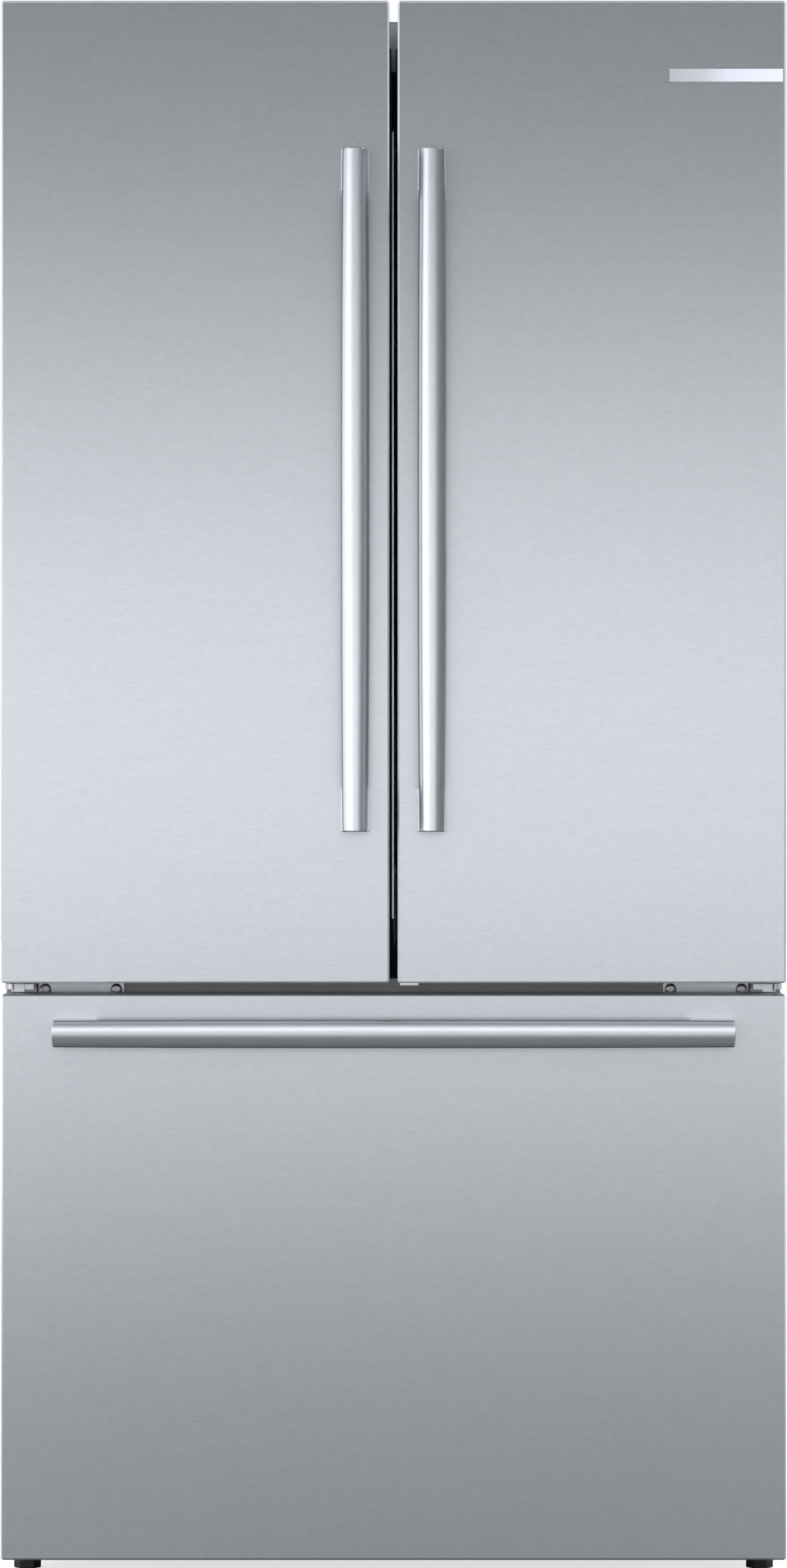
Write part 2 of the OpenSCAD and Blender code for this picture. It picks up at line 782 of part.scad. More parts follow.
// folded steel skin of a door or of the drawer front
module steel_skin(x, z) {
  difference() {
    panel_form(x, [door_front, skin_back], z, edge_bevel);
    skin_inside(x, skin_back + 1, z);
  }
}

half_door = [door_x, case_x];
full_z = [door_z, door_top];

module door_skin() {
  difference() {
    steel_skin(half_door, full_z);
    block([0, case_x + 1], [door_front + lip_d, skin_back + 1], [cap_top, door_top + 1]);
    bar_z([pivot_x, pivot_y, door_z - 1], pin_r + 2, skin_t + 2);
  }
}

// liner tray that closes the back of a door, with the ribs that carry the bins
rib_x = [58, inside_x - 7];
rib_w = 10;
rib_d = 58;
panel_t = 3;

module door_liner() {
  difference() {
    block(half_door, [skin_back, door_back], [door_z, cap_top]);
    block([door_x + panel_t, case_x - panel_t], [skin_back - 1, door_back - panel_t],
      [door_z + panel_t, cap_top - panel_t]);
  }
  ring(rib_x, [door_back, door_back + rib_d], [fridge_floor_z + 8, fridge_top - 8], rib_w);
}

module door_foam() {
  difference() {
    skin_inside(half_door, skin_back, full_z);
    block([0, case_x], [door_front, case_front], [cap_top - cap_h, door_top]);
    block([0, case_x], [door_front, case_front], [0, door_z + cap_h]);
  }
  block([door_x + panel_t, case_x - panel_t], [skin_back, door_back - panel_t],
    [door_z + panel_t, cap_top - panel_t]);
}

module door_caps() {
  difference() {
    intersection() {
      skin_inside(half_door, skin_back, full_z);
      union() {
        block([0, case_x], [door_front, skin_back], [cap_top - cap_h, cap_top]);
        block([0, case_x], [door_front, door_front + lip_d], [cap_top, door_top]);
        block([0, case_x], [door_front, skin_back], [door_z, door_z + cap_h]);
      }
    }
    bar_z([pivot_x, pivot_y, cap_top - pin_depth - 1], pin_r + pin_play, pin_depth + 2);
    bar_z([pivot_x, pivot_y, door_z - 1], pin_r + pin_play, pin_depth + 2);
  }
}

module door_gasket(seal_x) {
  ring([seal_x, gasket_x], [door_back, gasket_y], [gasket_low, gasket_top], gasket_w);
}

bin_x = [rib_x[0] + rib_w + play, rib_x[1] - rib_w - play];
bin_y = [door_back + play, door_back + bin_d];
bin_pitch = (fridge_top - fridge_floor_z - bin_up) / 3 - 8;
bin_z = [for (i = [0 : 2]) fridge_floor_z + bin_up + i * bin_pitch];

module door_bins() {
  for (z = bin_z) tub(bin_x, bin_y, [z, z + bin_h], tub_wall);
}

post_set = 0.4;
handle_back_r = handle_w * 0.56;

// half round bar on two posts, upright, its front at y = 0 and its lower end at z = 0
module handle(len) {
  bar_r = handle_w / 2;
  post_r = post_w / 2;
  intersection() {
    translate([0, bar_r, 0]) cylinder(r = bar_r, h = len);
    block([-handle_w, handle_w], [-1, handle_d], [0, len]);
  }
  intersection() {
    block([-bar_r, bar_r], [bar_r, handle_d], [0, len]);
    translate([0, bar_r, 0]) cylinder(r = handle_back_r, h = len);
  }
  for (z = [0, len - post_len]) {
    translate([0, post_r + post_set, z]) cylinder(r = post_r, h = post_len);
    block([-post_r, post_r], [post_r + post_set, handle_out], [z, z + post_len]);
  }
}

module door_handle() {
  translate([handle_pitch / 2, handle_front, door_z + door_handle_up]) handle(door_handle_len);
}

steel = [0.72, 0.73, 0.75];
white = [0.95, 0.96, 0.96];
black = [0.07, 0.07, 0.07];
foam_colour = [0.93, 0.87, 0.68];

module left() { mirror([1, 0, 0]) children(); }

module right_door_skin() { color(steel) door_skin(); }
module right_door_foam() { color(foam_colour) door_foam(); }
module right_door_liner() { color(white) door_liner(); }
module right_door_gasket() { color(black) door_gasket(right_seal_x); }
module right_handle() { color(steel) door_handle(); }
module right_door_bins() { color([0.85, 0.93, 0.96, 0.7]) door_bins(); }

// caps of the right door, with the small stop under its inner corner
module right_door_caps() {
  color([0.3, 0.31, 0.32]) {
    door_caps();
    block([door_x + 2.4, door_x + 24.6], [door_front + 6, door_front + 40], [door_z - 3.2, door_z]);
  }
}

badge_size = [131, 1.2, 14.8];

// bare bright strip in the upper outer corner of the right door
module badge_plate() {
  color([0.85, 0.86, 0.88])
    translate([case_x - 3.5 - badge_size[0], door_front - badge_size[1],
      door_top - 78.7 - badge_size[2]]) cube(badge_size);
}

module left_door_skin() { color(steel) left() door_skin(); }
module left_door_foam() { color(foam_colour) left() door_foam(); }
module left_door_gasket() { color(black) left() door_gasket(left_seal_x); }
module left_door_caps() { color([0.3, 0.31, 0.32]) left() door_caps(); }
module left_handle() { color(steel) left() door_handle(); }
module left_door_bins() { color([0.85, 0.93, 0.96, 0.7]) left() door_bins(); }

knuckle_r = 8;
knuckle_h = 30;
knuckle_pin_r = 2.5;
knuckle_z = [for (i = [0 : 2]) mullion_z + 60 + i * (mullion_top - mullion_z - 150) / 2];

// left door liner, with the three knuckles that carry the mullion
module left_door_liner() {
  color(white) left() {
    door_liner();
    for (z = knuckle_z) {
      bar_z([mullion_pivot_x, mullion_pivot_y, z], knuckle_r, knuckle_h);
      block([mullion_pivot_x - 4, mullion_pivot_x + 4], [door_back, mullion_pivot_y - 4],
        [z, z + knuckle_h]);
      bar_z([mullion_pivot_x, mullion_pivot_y, z - 12], knuckle_pin_r, knuckle_h + 24);
    }
  }
}

// bar that closes the gap between the doors, hinged to the left one
module mullion() {
  r = mullion_t / 2;
  color([0.12, 0.12, 0.13]) left() difference() {
    translate([0, 0, mullion_z]) union() {
      linear_extrude(mullion_top - mullion_z)
        polygon([[mullion_pivot_x, case_front], [mullion_tip, case_front],
          [mullion_tip, case_front + 6], [mullion_tip + 1.7, case_front + mullion_t],
          [mullion_pivot_x, case_front + mullion_t]]);
      translate([mullion_pivot_x, mullion_pivot_y, 0]) cylinder(r = r, h = mullion_top - mullion_z);
    }
    for (z = knuckle_z) {
      bar_z([mullion_pivot_x, mullion_pivot_y, z - play], r + 1, knuckle_h + 2 * play);
      bar_z([mullion_pivot_x, mullion_pivot_y, z - 13], knuckle_pin_r + pin_play, knuckle_h + 26);
    }
  }
}

// ---- freezer drawer ----

full_x = [-case_x, case_x];
drawer_zz = [drawer_z, drawer_top];
basket_x = rail_x[0] - 20;
basket_wall = 4;
basket_y = [door_back + basket_wall, door_back + basket_wall + basket_d];
basket_z = [freezer_floor_z + 10, freezer_floor_z + 10 + basket_h];
tray_d = 162;
tray_y = [basket_y[0] + basket_wall + play, basket_y[0] + basket_wall + tray_d];
slot_row = [60, 130];

module drawer_skin() { color(steel) steel_skin(full_x, drawer_zz); }

// insulated body of the drawer front, with its flange
module drawer_inner() {
  color(white) {
    skin_inside(full_x, skin_back, drawer_zz);
    block(full_x, [skin_back, door_back], drawer_zz);
  }
}

module drawer_gasket() {
  color(black)
    ring([-gasket_x, gasket_x], [door_back, gasket_y],
      [freezer_floor_z - gasket_w - 2, freezer_top + gasket_w + 2], gasket_w);
}

module drawer_handle() {
  color(steel)
    translate([-drawer_handle_len / 2, handle_front, drawer_top - drawer_handle_down])
      rotate([0, 90, 0]) handle(drawer_handle_len);
}

module basket() {
  color([0.9, 0.92, 0.93]) difference() {
    tub([-basket_x, basket_x], basket_y, basket_z, basket_wall);
    for (side = [-1, 1])
      for (z = slot_row + [1, 1] * basket_z[0])
        for (i = [0 : 4])
          block([side * basket_x - 6, side * basket_x + 6],
            [basket_y[0] + 30 + i * 60, basket_y[0] + 70 + i * 60], [z, z + 40]);
  }
}

// tray that slides back on the rim of the basket
module tray() {
  rim = basket_z[1] + play;
  tray_x = basket_x - basket_wall - 3;
  color([0.93, 0.95, 0.96]) {
    tub([-tray_x, tray_x], tray_y, [rim - tray_h, rim + 3], tub_wall);
    both_sides() block([tray_x - 1, basket_x], tray_y, [rim, rim + 3]);
  }
}

// runners that carry the drawer in the freezer rails
module drawer_rails() {
  color([0.75, 0.76, 0.77]) both_sides()
    block([basket_x, rail_x[1] - 3 - play], [door_back, basket_y[1]],
      [rail_z[0] + 8 + play, rail_z[1] - 8 - play]);
}

left_side_panel();
right_side_panel();
top_panel();
back_panel();
base_pan();
side_insulation();
level_insulation();
back_insulation();
fridge_liner();
freezer_liner();
front_header();
cross_rail();
top_hinges();
hinge_covers();
centre_hinges();
screws();
front_feet();
rear_rollers();
shelf_tracks();
shelf_frames();
shelf_glass();
crisper_frame();
left_crisper();
right_crisper();
pantry_drawer();
air_covers();
evaporator();
evaporator_fan();
ice_maker();
freezer_rails();
compressor();
condenser();
condenser_fan();
drain_pan();
water_valve();
power_gland();
rear_cover();
left_door_skin();
left_door_foam();
left_door_liner();
left_door_gasket();
left_door_caps();
left_handle();
left_door_bins();
mullion();
right_door_skin();
right_door_foam();
right_door_liner();
right_door_gasket();
right_door_caps();
right_handle();
right_door_bins();
badge_plate();
drawer_skin();
drawer_inner();
drawer_gasket();
drawer_handle();
basket();
tray();
drawer_rails();
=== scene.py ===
# %% [markdown]
# # A french door refrigerator
# Two insulated doors stand side by side over one wide freezer drawer. The fronts are
# brushed steel with slim folded edges, and each front has a bar handle on two posts.
# The construction is loaded as a fixed frame. This lesson gives every part of it a
# finish, and replaces the parts whose shape needs more care than a plain solid has: the
# steel fronts, the handles, the tubs, the seals and the feet.

# %% Setup
import math

import bmesh
import bpy
from mathutils import Matrix, Vector


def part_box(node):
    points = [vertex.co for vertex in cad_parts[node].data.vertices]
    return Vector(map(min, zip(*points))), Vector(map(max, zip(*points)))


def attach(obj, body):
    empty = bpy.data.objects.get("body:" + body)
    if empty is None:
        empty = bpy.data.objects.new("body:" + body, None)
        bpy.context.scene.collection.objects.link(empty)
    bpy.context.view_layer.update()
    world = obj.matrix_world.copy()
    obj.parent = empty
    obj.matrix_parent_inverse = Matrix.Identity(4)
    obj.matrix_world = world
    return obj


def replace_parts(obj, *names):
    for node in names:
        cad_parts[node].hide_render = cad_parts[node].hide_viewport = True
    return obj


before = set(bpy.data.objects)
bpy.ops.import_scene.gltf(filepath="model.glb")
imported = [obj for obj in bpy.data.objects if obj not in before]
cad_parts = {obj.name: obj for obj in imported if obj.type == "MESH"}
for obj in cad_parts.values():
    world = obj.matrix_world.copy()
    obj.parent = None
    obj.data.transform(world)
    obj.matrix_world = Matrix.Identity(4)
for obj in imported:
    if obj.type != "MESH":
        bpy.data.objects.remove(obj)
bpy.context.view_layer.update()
MM = 0.001

# %% [markdown]
# ## A small language for shaders
# A procedural material is a network of nodes, and most of it is arithmetic. `Wire`
# wraps one output of a node, and sums written on it in plain Python add the Math nodes.
# Every other node comes from `node`, which takes the node's type, its settings and what
# goes into its sockets, by name or by number (i0, i1). `output` gives another output of
# the same node.

# %% The wire class
class Wire:
    """One output in a node tree, which takes part in ordinary sums."""

    def __init__(self, tree, socket=None):
        self.tree = tree
        self.socket = socket

    def node(self, kind, settings=None, out=0, **inputs):
        made = self.tree.nodes.new(kind)
        for name, value in (settings or {}).items():
            if name == "stops":
                set_stops(made.color_ramp, value)
            else:
                setattr(made, name, value)
        for name, value in inputs.items():
            key = int(name[1:]) if name[1:].isdigit() else name.replace("_", " ")
            self.feed(made.inputs[key], value)
        return Wire(self.tree, made.outputs[out])

    def feed(self, socket, value):
        if isinstance(value, Wire):
            self.tree.links.new(value.socket, socket)
        else:
            socket.default_value = value

    def output(self, name):
        return Wire(self.tree, self.socket.node.outputs[name])

    def math(self, operation, a, b):
        return self.node("ShaderNodeMath", {"operation": operation}, i0=a, i1=b)

    def __add__(self, other): return self.math("ADD", self, other)
    def __radd__(self, other): return self.math("ADD", other, self)
    def __sub__(self, other): return self.math("SUBTRACT", self, other)
    def __rsub__(self, other): return self.math("SUBTRACT", other, self)
    def __mul__(self, other): return self.math("MULTIPLY", self, other)
    def __rmul__(self, other): return self.math("MULTIPLY", other, self)


def set_stops(ramp, stops):
    """Gives a colour ramp its stops, each a place and a grey level or a colour."""
    while len(ramp.elements) < len(stops):
        ramp.elements.new(0.5)
    for element, (place, level) in zip(ramp.elements, stops):
        element.position = place
        element.color = grey(level) if isinstance(level, (int, float)) else level


def grey(level):
    return (level, level, level, 1.0)


# %% A new material
def material(name, **constants):
    """Returns a material, its Principled shader and a wire to build from."""
    made = bpy.data.materials.new(name)
    made.use_nodes = True
    tree = made.node_tree
    shader = tree.nodes["Principled BSDF"]
    for key, value in constants.items():
        shader.inputs[key.replace("_", " ")].default_value = value
    made.diffuse_color = constants.get("Base_Color", grey(0.5))
    return made, shader, Wire(tree)


def place(wire, stretch=(1, 1, 1)):
    """Object coordinates, stretched by a Mapping node."""
    here = wire.node("ShaderNodeTexCoord").output("Object")
    return wire.node("ShaderNodeMapping", Vector=here, Scale=stretch)


def noise(wire, stretch, detail=3.0):
    """A noise between 0 and 1 whose grain is stretched along an axis."""
    return wire.node("ShaderNodeTexNoise", Vector=place(wire, stretch), Scale=1.0,
                     Detail=detail, Roughness=0.6)


def mix(wire, factor, a, b):
    """A colour between a and b."""
    return wire.node("ShaderNodeMix", {"data_type": "RGBA"}, out=2, i0=factor, i6=a, i7=b)


def ramp(wire, factor, stops):
    """A colour ramp driven by factor."""
    return wire.node("ShaderNodeValToRGB", {"stops": stops}, Fac=factor)


def spread(wire, factor, colour, low, high):
    """The colour, varied by factor between two shades of itself."""
    return mix(wire, factor, shade(colour, low), shade(colour, high))


def bump(wire, height, strength, distance):
    return wire.node("ShaderNodeBump", Height=height, Strength=strength, Distance=distance)


def shade(base, change):
    """The colour base, made lighter or darker by a factor."""
    return tuple(c * change for c in base[:3]) + (1.0,)


# %% [markdown]
# ## Brushed steel
# The fronts are rolled steel that was brushed sideways with an abrasive belt, so the
# scratches are long and run level, and then coated against finger marks. One noise
# stretched along the scratches gives the grain, a second wider one gives the slow drift
# of the sheet. They move the colour and the roughness a little and feed a shallow bump,
# because a real brushed sheet is nearly flat to the eye. An image of scratches would
# need unwrapping, and the noise doesn't. The handles are brushed along their own
# length.

# %% Brushed steel
STEEL = (0.585, 0.612, 0.655, 1.0)


def brushed_steel(name, stretch, rough=0.285, tone_and_painted_light=1.0):
    """Steel whose grain runs where stretch is small. Its tone lightens or darkens it; on the folds
    and the bar edges that is painted highlight and painted shade.
    """
    colour = shade(STEEL, tone_and_painted_light)
    made, shader, wire = material(name, Base_Color=colour, Metallic=1.0, Roughness=rough)
    fine = noise(wire, stretch, detail=2.0)
    broad = noise(wire, tuple(s * 0.06 for s in stretch), detail=2.0)
    grain = fine * 0.85 + broad * 0.15
    wire.feed(shader.inputs["Base Color"], spread(wire, grain, colour, 0.84, 1.16))
    wire.feed(shader.inputs["Roughness"], (fine - 0.5) * 0.04 + rough)
    wire.feed(shader.inputs["Normal"], bump(wire, fine, 0.10, 0.00002))
    return made


ACROSS = (100.0, 100.0, 1100.0)
UPRIGHT = (900.0, 900.0, 40.0)
ALONG_BAR = (40.0, 900.0, 900.0)
steel_across = brushed_steel("steel brushed across", ACROSS)
steel_upright = brushed_steel("steel brushed upright", UPRIGHT, 0.34, 1.26)
steel_bar = brushed_steel("steel brushed along the drawer bar", ALONG_BAR, 0.40)
# The fold and edge finishes are copies of the same steel with painted light: darkened as painted
# shade on the level folds, the drawer's upper fold and the bars' edges, lightened as painted
# highlight on the doors' lower folds and the upright folds.
painted_shade_fold = brushed_steel("steel with painted shade on the level folds", ACROSS, 0.40, 0.72)
painted_highlight_door_fold = brushed_steel("steel with painted highlight on the doors' lower folds", ACROSS, 0.60, 1.22)
painted_shade_drawer_fold = brushed_steel("steel with painted shade on the drawer's upper fold", ACROSS, 0.44, 0.30)
painted_highlight_upright_fold = brushed_steel("steel with painted highlight on the upright folds", UPRIGHT, 0.60, 1.38)
painted_shade_bar_edge = brushed_steel("painted shade on the edges of the bars", ACROSS, 0.40, 0.30)
print("steel finishes:", [m.name for m in (steel_across, steel_upright, steel_bar)])

# %% [markdown]
# ## Painted sheet
# The cabinet's sides are steel with a grey powder coat. Powder melts into a fine orange
# peel, which is a soft noise a couple of millimetres across in the bump. Real dents
# would take many faces, for a relief that only the highlights show.

# %% Painted sheet
def painted(name, colour, rough=0.42, peel=0.35):
    """A powder coat, with the depth of its orange peel."""
    made, shader, wire = material(name, Base_Color=colour, Roughness=rough)
    skin = noise(wire, (420, 420, 420), detail=2.0)
    patch = noise(wire, (6, 6, 6))
    wire.feed(shader.inputs["Base Color"], spread(wire, patch, colour, 0.94, 1.06))
    wire.feed(shader.inputs["Roughness"], (patch - 0.5) * 0.12 + rough)
    wire.feed(shader.inputs["Normal"], bump(wire, skin, peel, 0.0002))
    return made


case_paint = painted("grey case paint", (0.135, 0.140, 0.148, 1))
header_paint = painted("grey header paint", (0.30, 0.305, 0.315, 1))
dark_paint = painted("dark chassis paint", (0.045, 0.046, 0.05, 1))
# The rail's grey is lighter than the header's, as painted light that makes up for the shade in the
# gap where the rail shows.
rail_paint_with_painted_light = painted("rail paint with painted light", (0.50, 0.505, 0.52, 1))
back_sheet = painted("back sheet", (0.42, 0.43, 0.44, 1), rough=0.5, peel=0.15)
print("paints:", [m.name for m in (case_paint, header_paint, dark_paint, rail_paint_with_painted_light, back_sheet)])

# %% [markdown]
# ## Plastics, rubber and foam
# The liners are sheet plastic drawn over a mould: smooth, white, slightly glossy, with
# a faint ripple. The moulded black and grey pieces carry a spark-eroded grain, which is
# a finer and deeper noise. Rubber is duller still, and foam the roughest. One function
# makes them all, since only colour, gloss and grain differ.

# %% Plastics and rubber
def moulded(name, colour, rough, grain=900.0, depth=0.3):
    """A moulded plastic, rubber or foam, with the depth of its grain."""
    made, shader, wire = material(name, Base_Color=colour, Roughness=rough)
    fine = noise(wire, (grain, grain, grain), detail=2.0)
    broad = noise(wire, (9, 9, 9), detail=2.0)
    wire.feed(shader.inputs["Base Color"], spread(wire, broad, colour, 0.95, 1.04))
    wire.feed(shader.inputs["Roughness"], (fine - 0.5) * 0.15 + rough)
    wire.feed(shader.inputs["Normal"], bump(wire, fine, depth, 0.0001))
    return made


liner_white = moulded("white liner plastic", (0.80, 0.82, 0.83, 1), rough=0.28, grain=1200,
                      depth=0.05)
black_moulded = moulded("black moulded plastic", (0.022, 0.022, 0.024, 1), rough=0.5)
cap_grey = moulded("grey cap plastic", (0.10, 0.102, 0.106, 1), rough=0.55)
rubber = moulded("seal rubber", (0.014, 0.014, 0.015, 1), rough=0.75, grain=500, depth=0.5)
foam = moulded("insulating foam", (0.72, 0.68, 0.58, 1), rough=0.9, grain=260, depth=1.0)
print("plastics:", [m.name for m in (liner_white, black_moulded, cap_grey, rubber, foam)])

# %% [markdown]
# ## Clear pieces
# The tubs are clear plastic and the shelves are glass. Both bend light, and what makes
# them read as clear is the thickness of their walls and a little tint. Part of the
# light goes straight through, so that what stands behind them isn't in shadow.

# %% Clear pieces
def clear(name, tint, rough, ior, solid):
    """A clear material, solid to that share of the light."""
    made, shader, wire = material(name, Base_Color=tint, Roughness=rough, Transmission_Weight=1.0,
                                  IOR=ior, Alpha=solid)
    haze = noise(wire, (30, 30, 30))
    wire.feed(shader.inputs["Roughness"], haze * 0.06 + rough)
    wire.feed(shader.inputs["Base Color"], spread(wire, haze, tint, 0.97, 1.0))
    return made


tub_plastic = clear("clear tub plastic", (0.93, 0.97, 0.985, 1), 0.06, 1.35, 0.45)
shelf_pane = clear("shelf glass", (0.90, 0.97, 0.96, 1), 0.01, 1.45, 0.40)
print("clear:", [m.name for m in (tub_plastic, shelf_pane)])

# %% [markdown]
# ## Bright metals
# Hinges, slides and screws are zinc plated: a cold bright metal with a cloudy spangle.
# The plate under the nameplate strip is chrome, and the coil is aluminium. Soft clouds
# of noise stand for the zinc's crystals, which are too fine to draw.

# %% Bright metals
def plated(name, colour, rough, spangle=40.0):
    """A bright metal whose colour and gloss drift in clouds, spangle to the metre."""
    made, shader, wire = material(name, Base_Color=colour, Metallic=1.0, Roughness=rough)
    cloud = noise(wire, (spangle, spangle, spangle), detail=4.0)
    wire.feed(shader.inputs["Base Color"], spread(wire, cloud, colour, 0.88, 1.08))
    wire.feed(shader.inputs["Roughness"], (cloud - 0.5) * 0.2 + rough)
    wire.feed(shader.inputs["Normal"], bump(wire, cloud, 0.1, 0.0002))
    return made


zinc = plated("zinc plate", (0.66, 0.67, 0.69, 1), 0.38)
hinge_steel = plated("hinge steel", (0.68, 0.70, 0.72, 1), 0.38)
edge_strip = plated("bright edge strip", (0.93, 0.94, 0.95, 1), 0.30, spangle=8)
chrome = plated("polished chrome", (0.86, 0.87, 0.90, 1), 0.12, spangle=8)
aluminium = plated("bare aluminium", (0.80, 0.81, 0.83, 1), 0.34)
brass = plated("valve brass", (0.72, 0.55, 0.24, 1), 0.30)
print("metals:", [m.name for m in (zinc, hinge_steel, edge_strip, chrome, aluminium, brass)])

# %% [markdown]
# ## Which finish goes on which part
# Every part of the frame is in this table. A part that a later step replaces keeps its
# finish there too, since it still stands for the part in quick views.

# %% Finishes of the parts
FINISHES = {
    case_paint: ["left_side_panel", "right_side_panel", "top_panel", "hinge_covers"],
    header_paint: ["front_header"],
    rail_paint_with_painted_light: ["cross_rail"],
    dark_paint: ["base_pan", "rear_cover", "compressor", "condenser"],
    back_sheet: ["back_panel"],
    foam: ["side_insulation", "level_insulation", "back_insulation", "left_door_foam",
           "right_door_foam"],
    liner_white: ["fridge_liner", "freezer_liner", "left_door_liner", "right_door_liner",
                  "air_covers", "ice_maker", "basket", "tray", "shelf_frames", "drawer_inner"],
    hinge_steel: ["centre_hinges"],
    zinc: ["top_hinges", "screws", "shelf_tracks", "freezer_rails", "drawer_rails"],
    rubber: ["front_feet", "left_door_gasket", "right_door_gasket", "drawer_gasket"],
    black_moulded: ["rear_rollers", "evaporator_fan", "condenser_fan", "drain_pan",
                    "power_gland", "mullion"],
    shelf_pane: ["shelf_glass"],
    tub_plastic: ["crisper_frame", "left_crisper", "right_crisper", "pantry_drawer",
                  "left_door_bins", "right_door_bins"],
    aluminium: ["evaporator"],
    brass: ["water_valve"],
    steel_across: ["left_door_skin", "right_door_skin", "drawer_skin"],
    steel_upright: ["left_handle", "right_handle"],
    steel_bar: ["drawer_handle"],
    cap_grey: ["left_door_caps", "right_door_caps"],
    chrome: ["badge_plate"],
}


def finish(thing, made):
    thing.data.materials.clear()
    thing.data.materials.append(made)


for made, names in FINISHES.items():
    for name in names:
        finish(bpy.data.objects[name], made)
print("parts with a finish:", sum(len(names) for names in FINISHES.values()))

# %% [markdown]
# ## Building with bmesh
# The new pieces start as a box, a turned shape or a swept outline, and their edges are
# rounded by a bevel. Modifiers could do the same, but here each step sees the edges
# that the last one made. Sizes are in millimetres, as in the construction, and turn
# into metres when the mesh is stored.

# %% Tools for new pieces
SMOOTH_UP_TO = math.radians(38)


def store(shape, name, made, body):
    """Keeps a bmesh as an object of the given body, with outward normals."""
    bmesh.ops.recalc_face_normals(shape, faces=shape.faces)
    bmesh.ops.scale(shape, vec=(MM, MM, MM), verts=shape.verts)
    mesh = bpy.data.meshes.new(name)
    shape.to_mesh(mesh)
    shape.free()
    for face in mesh.polygons:
        face.use_smooth = True
    mesh.set_sharp_from_angle(angle=SMOOTH_UP_TO)
    thing = bpy.data.objects.new(name, mesh)
    bpy.context.scene.collection.objects.link(thing)
    finish(thing, made)
    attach(thing, body)
    return thing


def box_mm(node):
    """The low and the high corner of a part, in millimetres."""
    low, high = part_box(node)
    return [c / MM for c in low], [c / MM for c in high]


def add_box(shape, x, y, z):
    """Adds a box to a bmesh and returns its vertices."""
    made = bmesh.ops.create_cube(shape, size=1.0)["verts"]
    for v in made:
        v.co = Vector([(lo + hi) / 2 + c * (hi - lo) for c, (lo, hi) in zip(v.co, (x, y, z))])
    return made


def edges_of(verts, test=lambda a, b: True):
    """The edges among verts whose ends pass a test."""
    inside = set(verts)
    found = dict.fromkeys(e for v in verts for e in v.link_edges if e.other_vert(v) in inside)
    return [e for e in found if test(e.verts[0].co, e.verts[1].co)]


def round_edges(shape, edges, radius, segments):
    """Bevels edges. One segment cuts them flat instead."""
    bmesh.ops.bevel(shape, geom=edges, offset=radius, segments=segments, profile=0.5,
                    affect="EDGES", material=-1)


def along(axis):
    """A test for edges that run along an axis."""
    return lambda a, b: abs((b - a)[axis]) > 0.5 * (b - a).length


# %% [markdown]
# ## Light
# Brushed steel shows little but what it mirrors, so the lights decide how it looks.
# Tall soft panels stand in an arc of 5 m round the fronts, each given by its two angles
# left of straight ahead, its height and its brightness. Those on the left are bright
# and draw the line down each upright handle, the one straight ahead fades the doors
# upwards and downwards, and those on the right are dim. The sky is white to the camera.
# Mirrors see another one, with a bright band above for the drawer's bar.

# %% Lights and surroundings
ARC = 5.0
MIDDLE_OF_FRONTS = Vector((0, -0.333, 0.9185))
LIGHTS = ((98, 76, 3.0, 1.20), (76, 62, 3.0, 1.90), (62, 46, 3.0, 1.75), (46, 32, 2.4, 1.75),
          (32, 16, 1.9, 1.45), (16, -16, 1.36, 1.40), (-16, -32, 1.6, 1.07),
          (-32, -46, 2.0, 0.34), (-46, -62, 2.6, 0.10), (-62, -84, 3.0, 0.05))


def on_arc(azimuth, elevation):
    """A place on the arc, at an angle left of straight ahead and another one up."""
    a, e = math.radians(azimuth), math.radians(elevation)
    heading = Vector((-math.sin(a) * math.cos(e), -math.cos(a) * math.cos(e), math.sin(e)))
    return MIDDLE_OF_FRONTS + ARC * heading


def soft_light(name, at, width, height, radiance):
    """A rectangular light whose face is as bright as radiance, whatever its size."""
    data = bpy.data.lights.new(name, "AREA")
    data.shape = "RECTANGLE"
    data.size, data.size_y = width, height
    data.energy = radiance * math.pi * width * height
    lamp = bpy.data.objects.new(name, data)
    bpy.context.scene.collection.objects.link(lamp)
    lamp.location = at
    lamp.rotation_euler = (MIDDLE_OF_FRONTS - at).to_track_quat("-Z", "Y").to_euler()
    lamp.visible_camera = False


for start, stop, height, radiance in LIGHTS:
    straight_ahead = start + stop == 0
    soft_light(f"light {start} to {stop}", on_arc((start + stop) / 2, 1.5 if straight_ahead else 0),
               2 * ARC * math.tan(math.radians(start - stop) / 2), height, radiance)

world = bpy.data.worlds.new("white room")
bpy.context.scene.world = world
world.use_nodes = True
tree = world.node_tree
wire = Wire(tree)
ground = tree.nodes["Background"]
mirrored = wire.node("ShaderNodeLightPath").output("Is Glossy Ray")
heading = wire.node("ShaderNodeSeparateXYZ",
                    Vector=wire.node("ShaderNodeTexCoord").output("Generated"))
climb = heading.output("Z") * 0.5 + 0.5
ahead = heading.output("Y") * 0.5 + 0.5
side = ramp(wire, climb, [(0.0, 0.40), (0.5, 1.5), (0.75, 1.2), (1.0, 0.3)])
over = ramp(wire, climb, [(0.0, 0.08), (0.5, 0.05), (0.62, 0.05), (0.70, 1.0), (0.78, 2.2),
                          (0.87, 1.9), (0.93, 1.1), (0.97, 0.45), (1.0, 0.2)])
facing = ramp(wire, ahead, [(0.54, 1.0), (0.60, 0.0)])
sky = mix(wire, facing, side, over)
wire.feed(ground.inputs["Color"], mix(wire, mirrored, grey(1.0), sky))

# %% [markdown]
# ## Floor and camera
# The floor is white and keeps the shadow of the refrigerator. The camera stands 7.5 m
# ahead of the doors at half their height, and looks level at them.

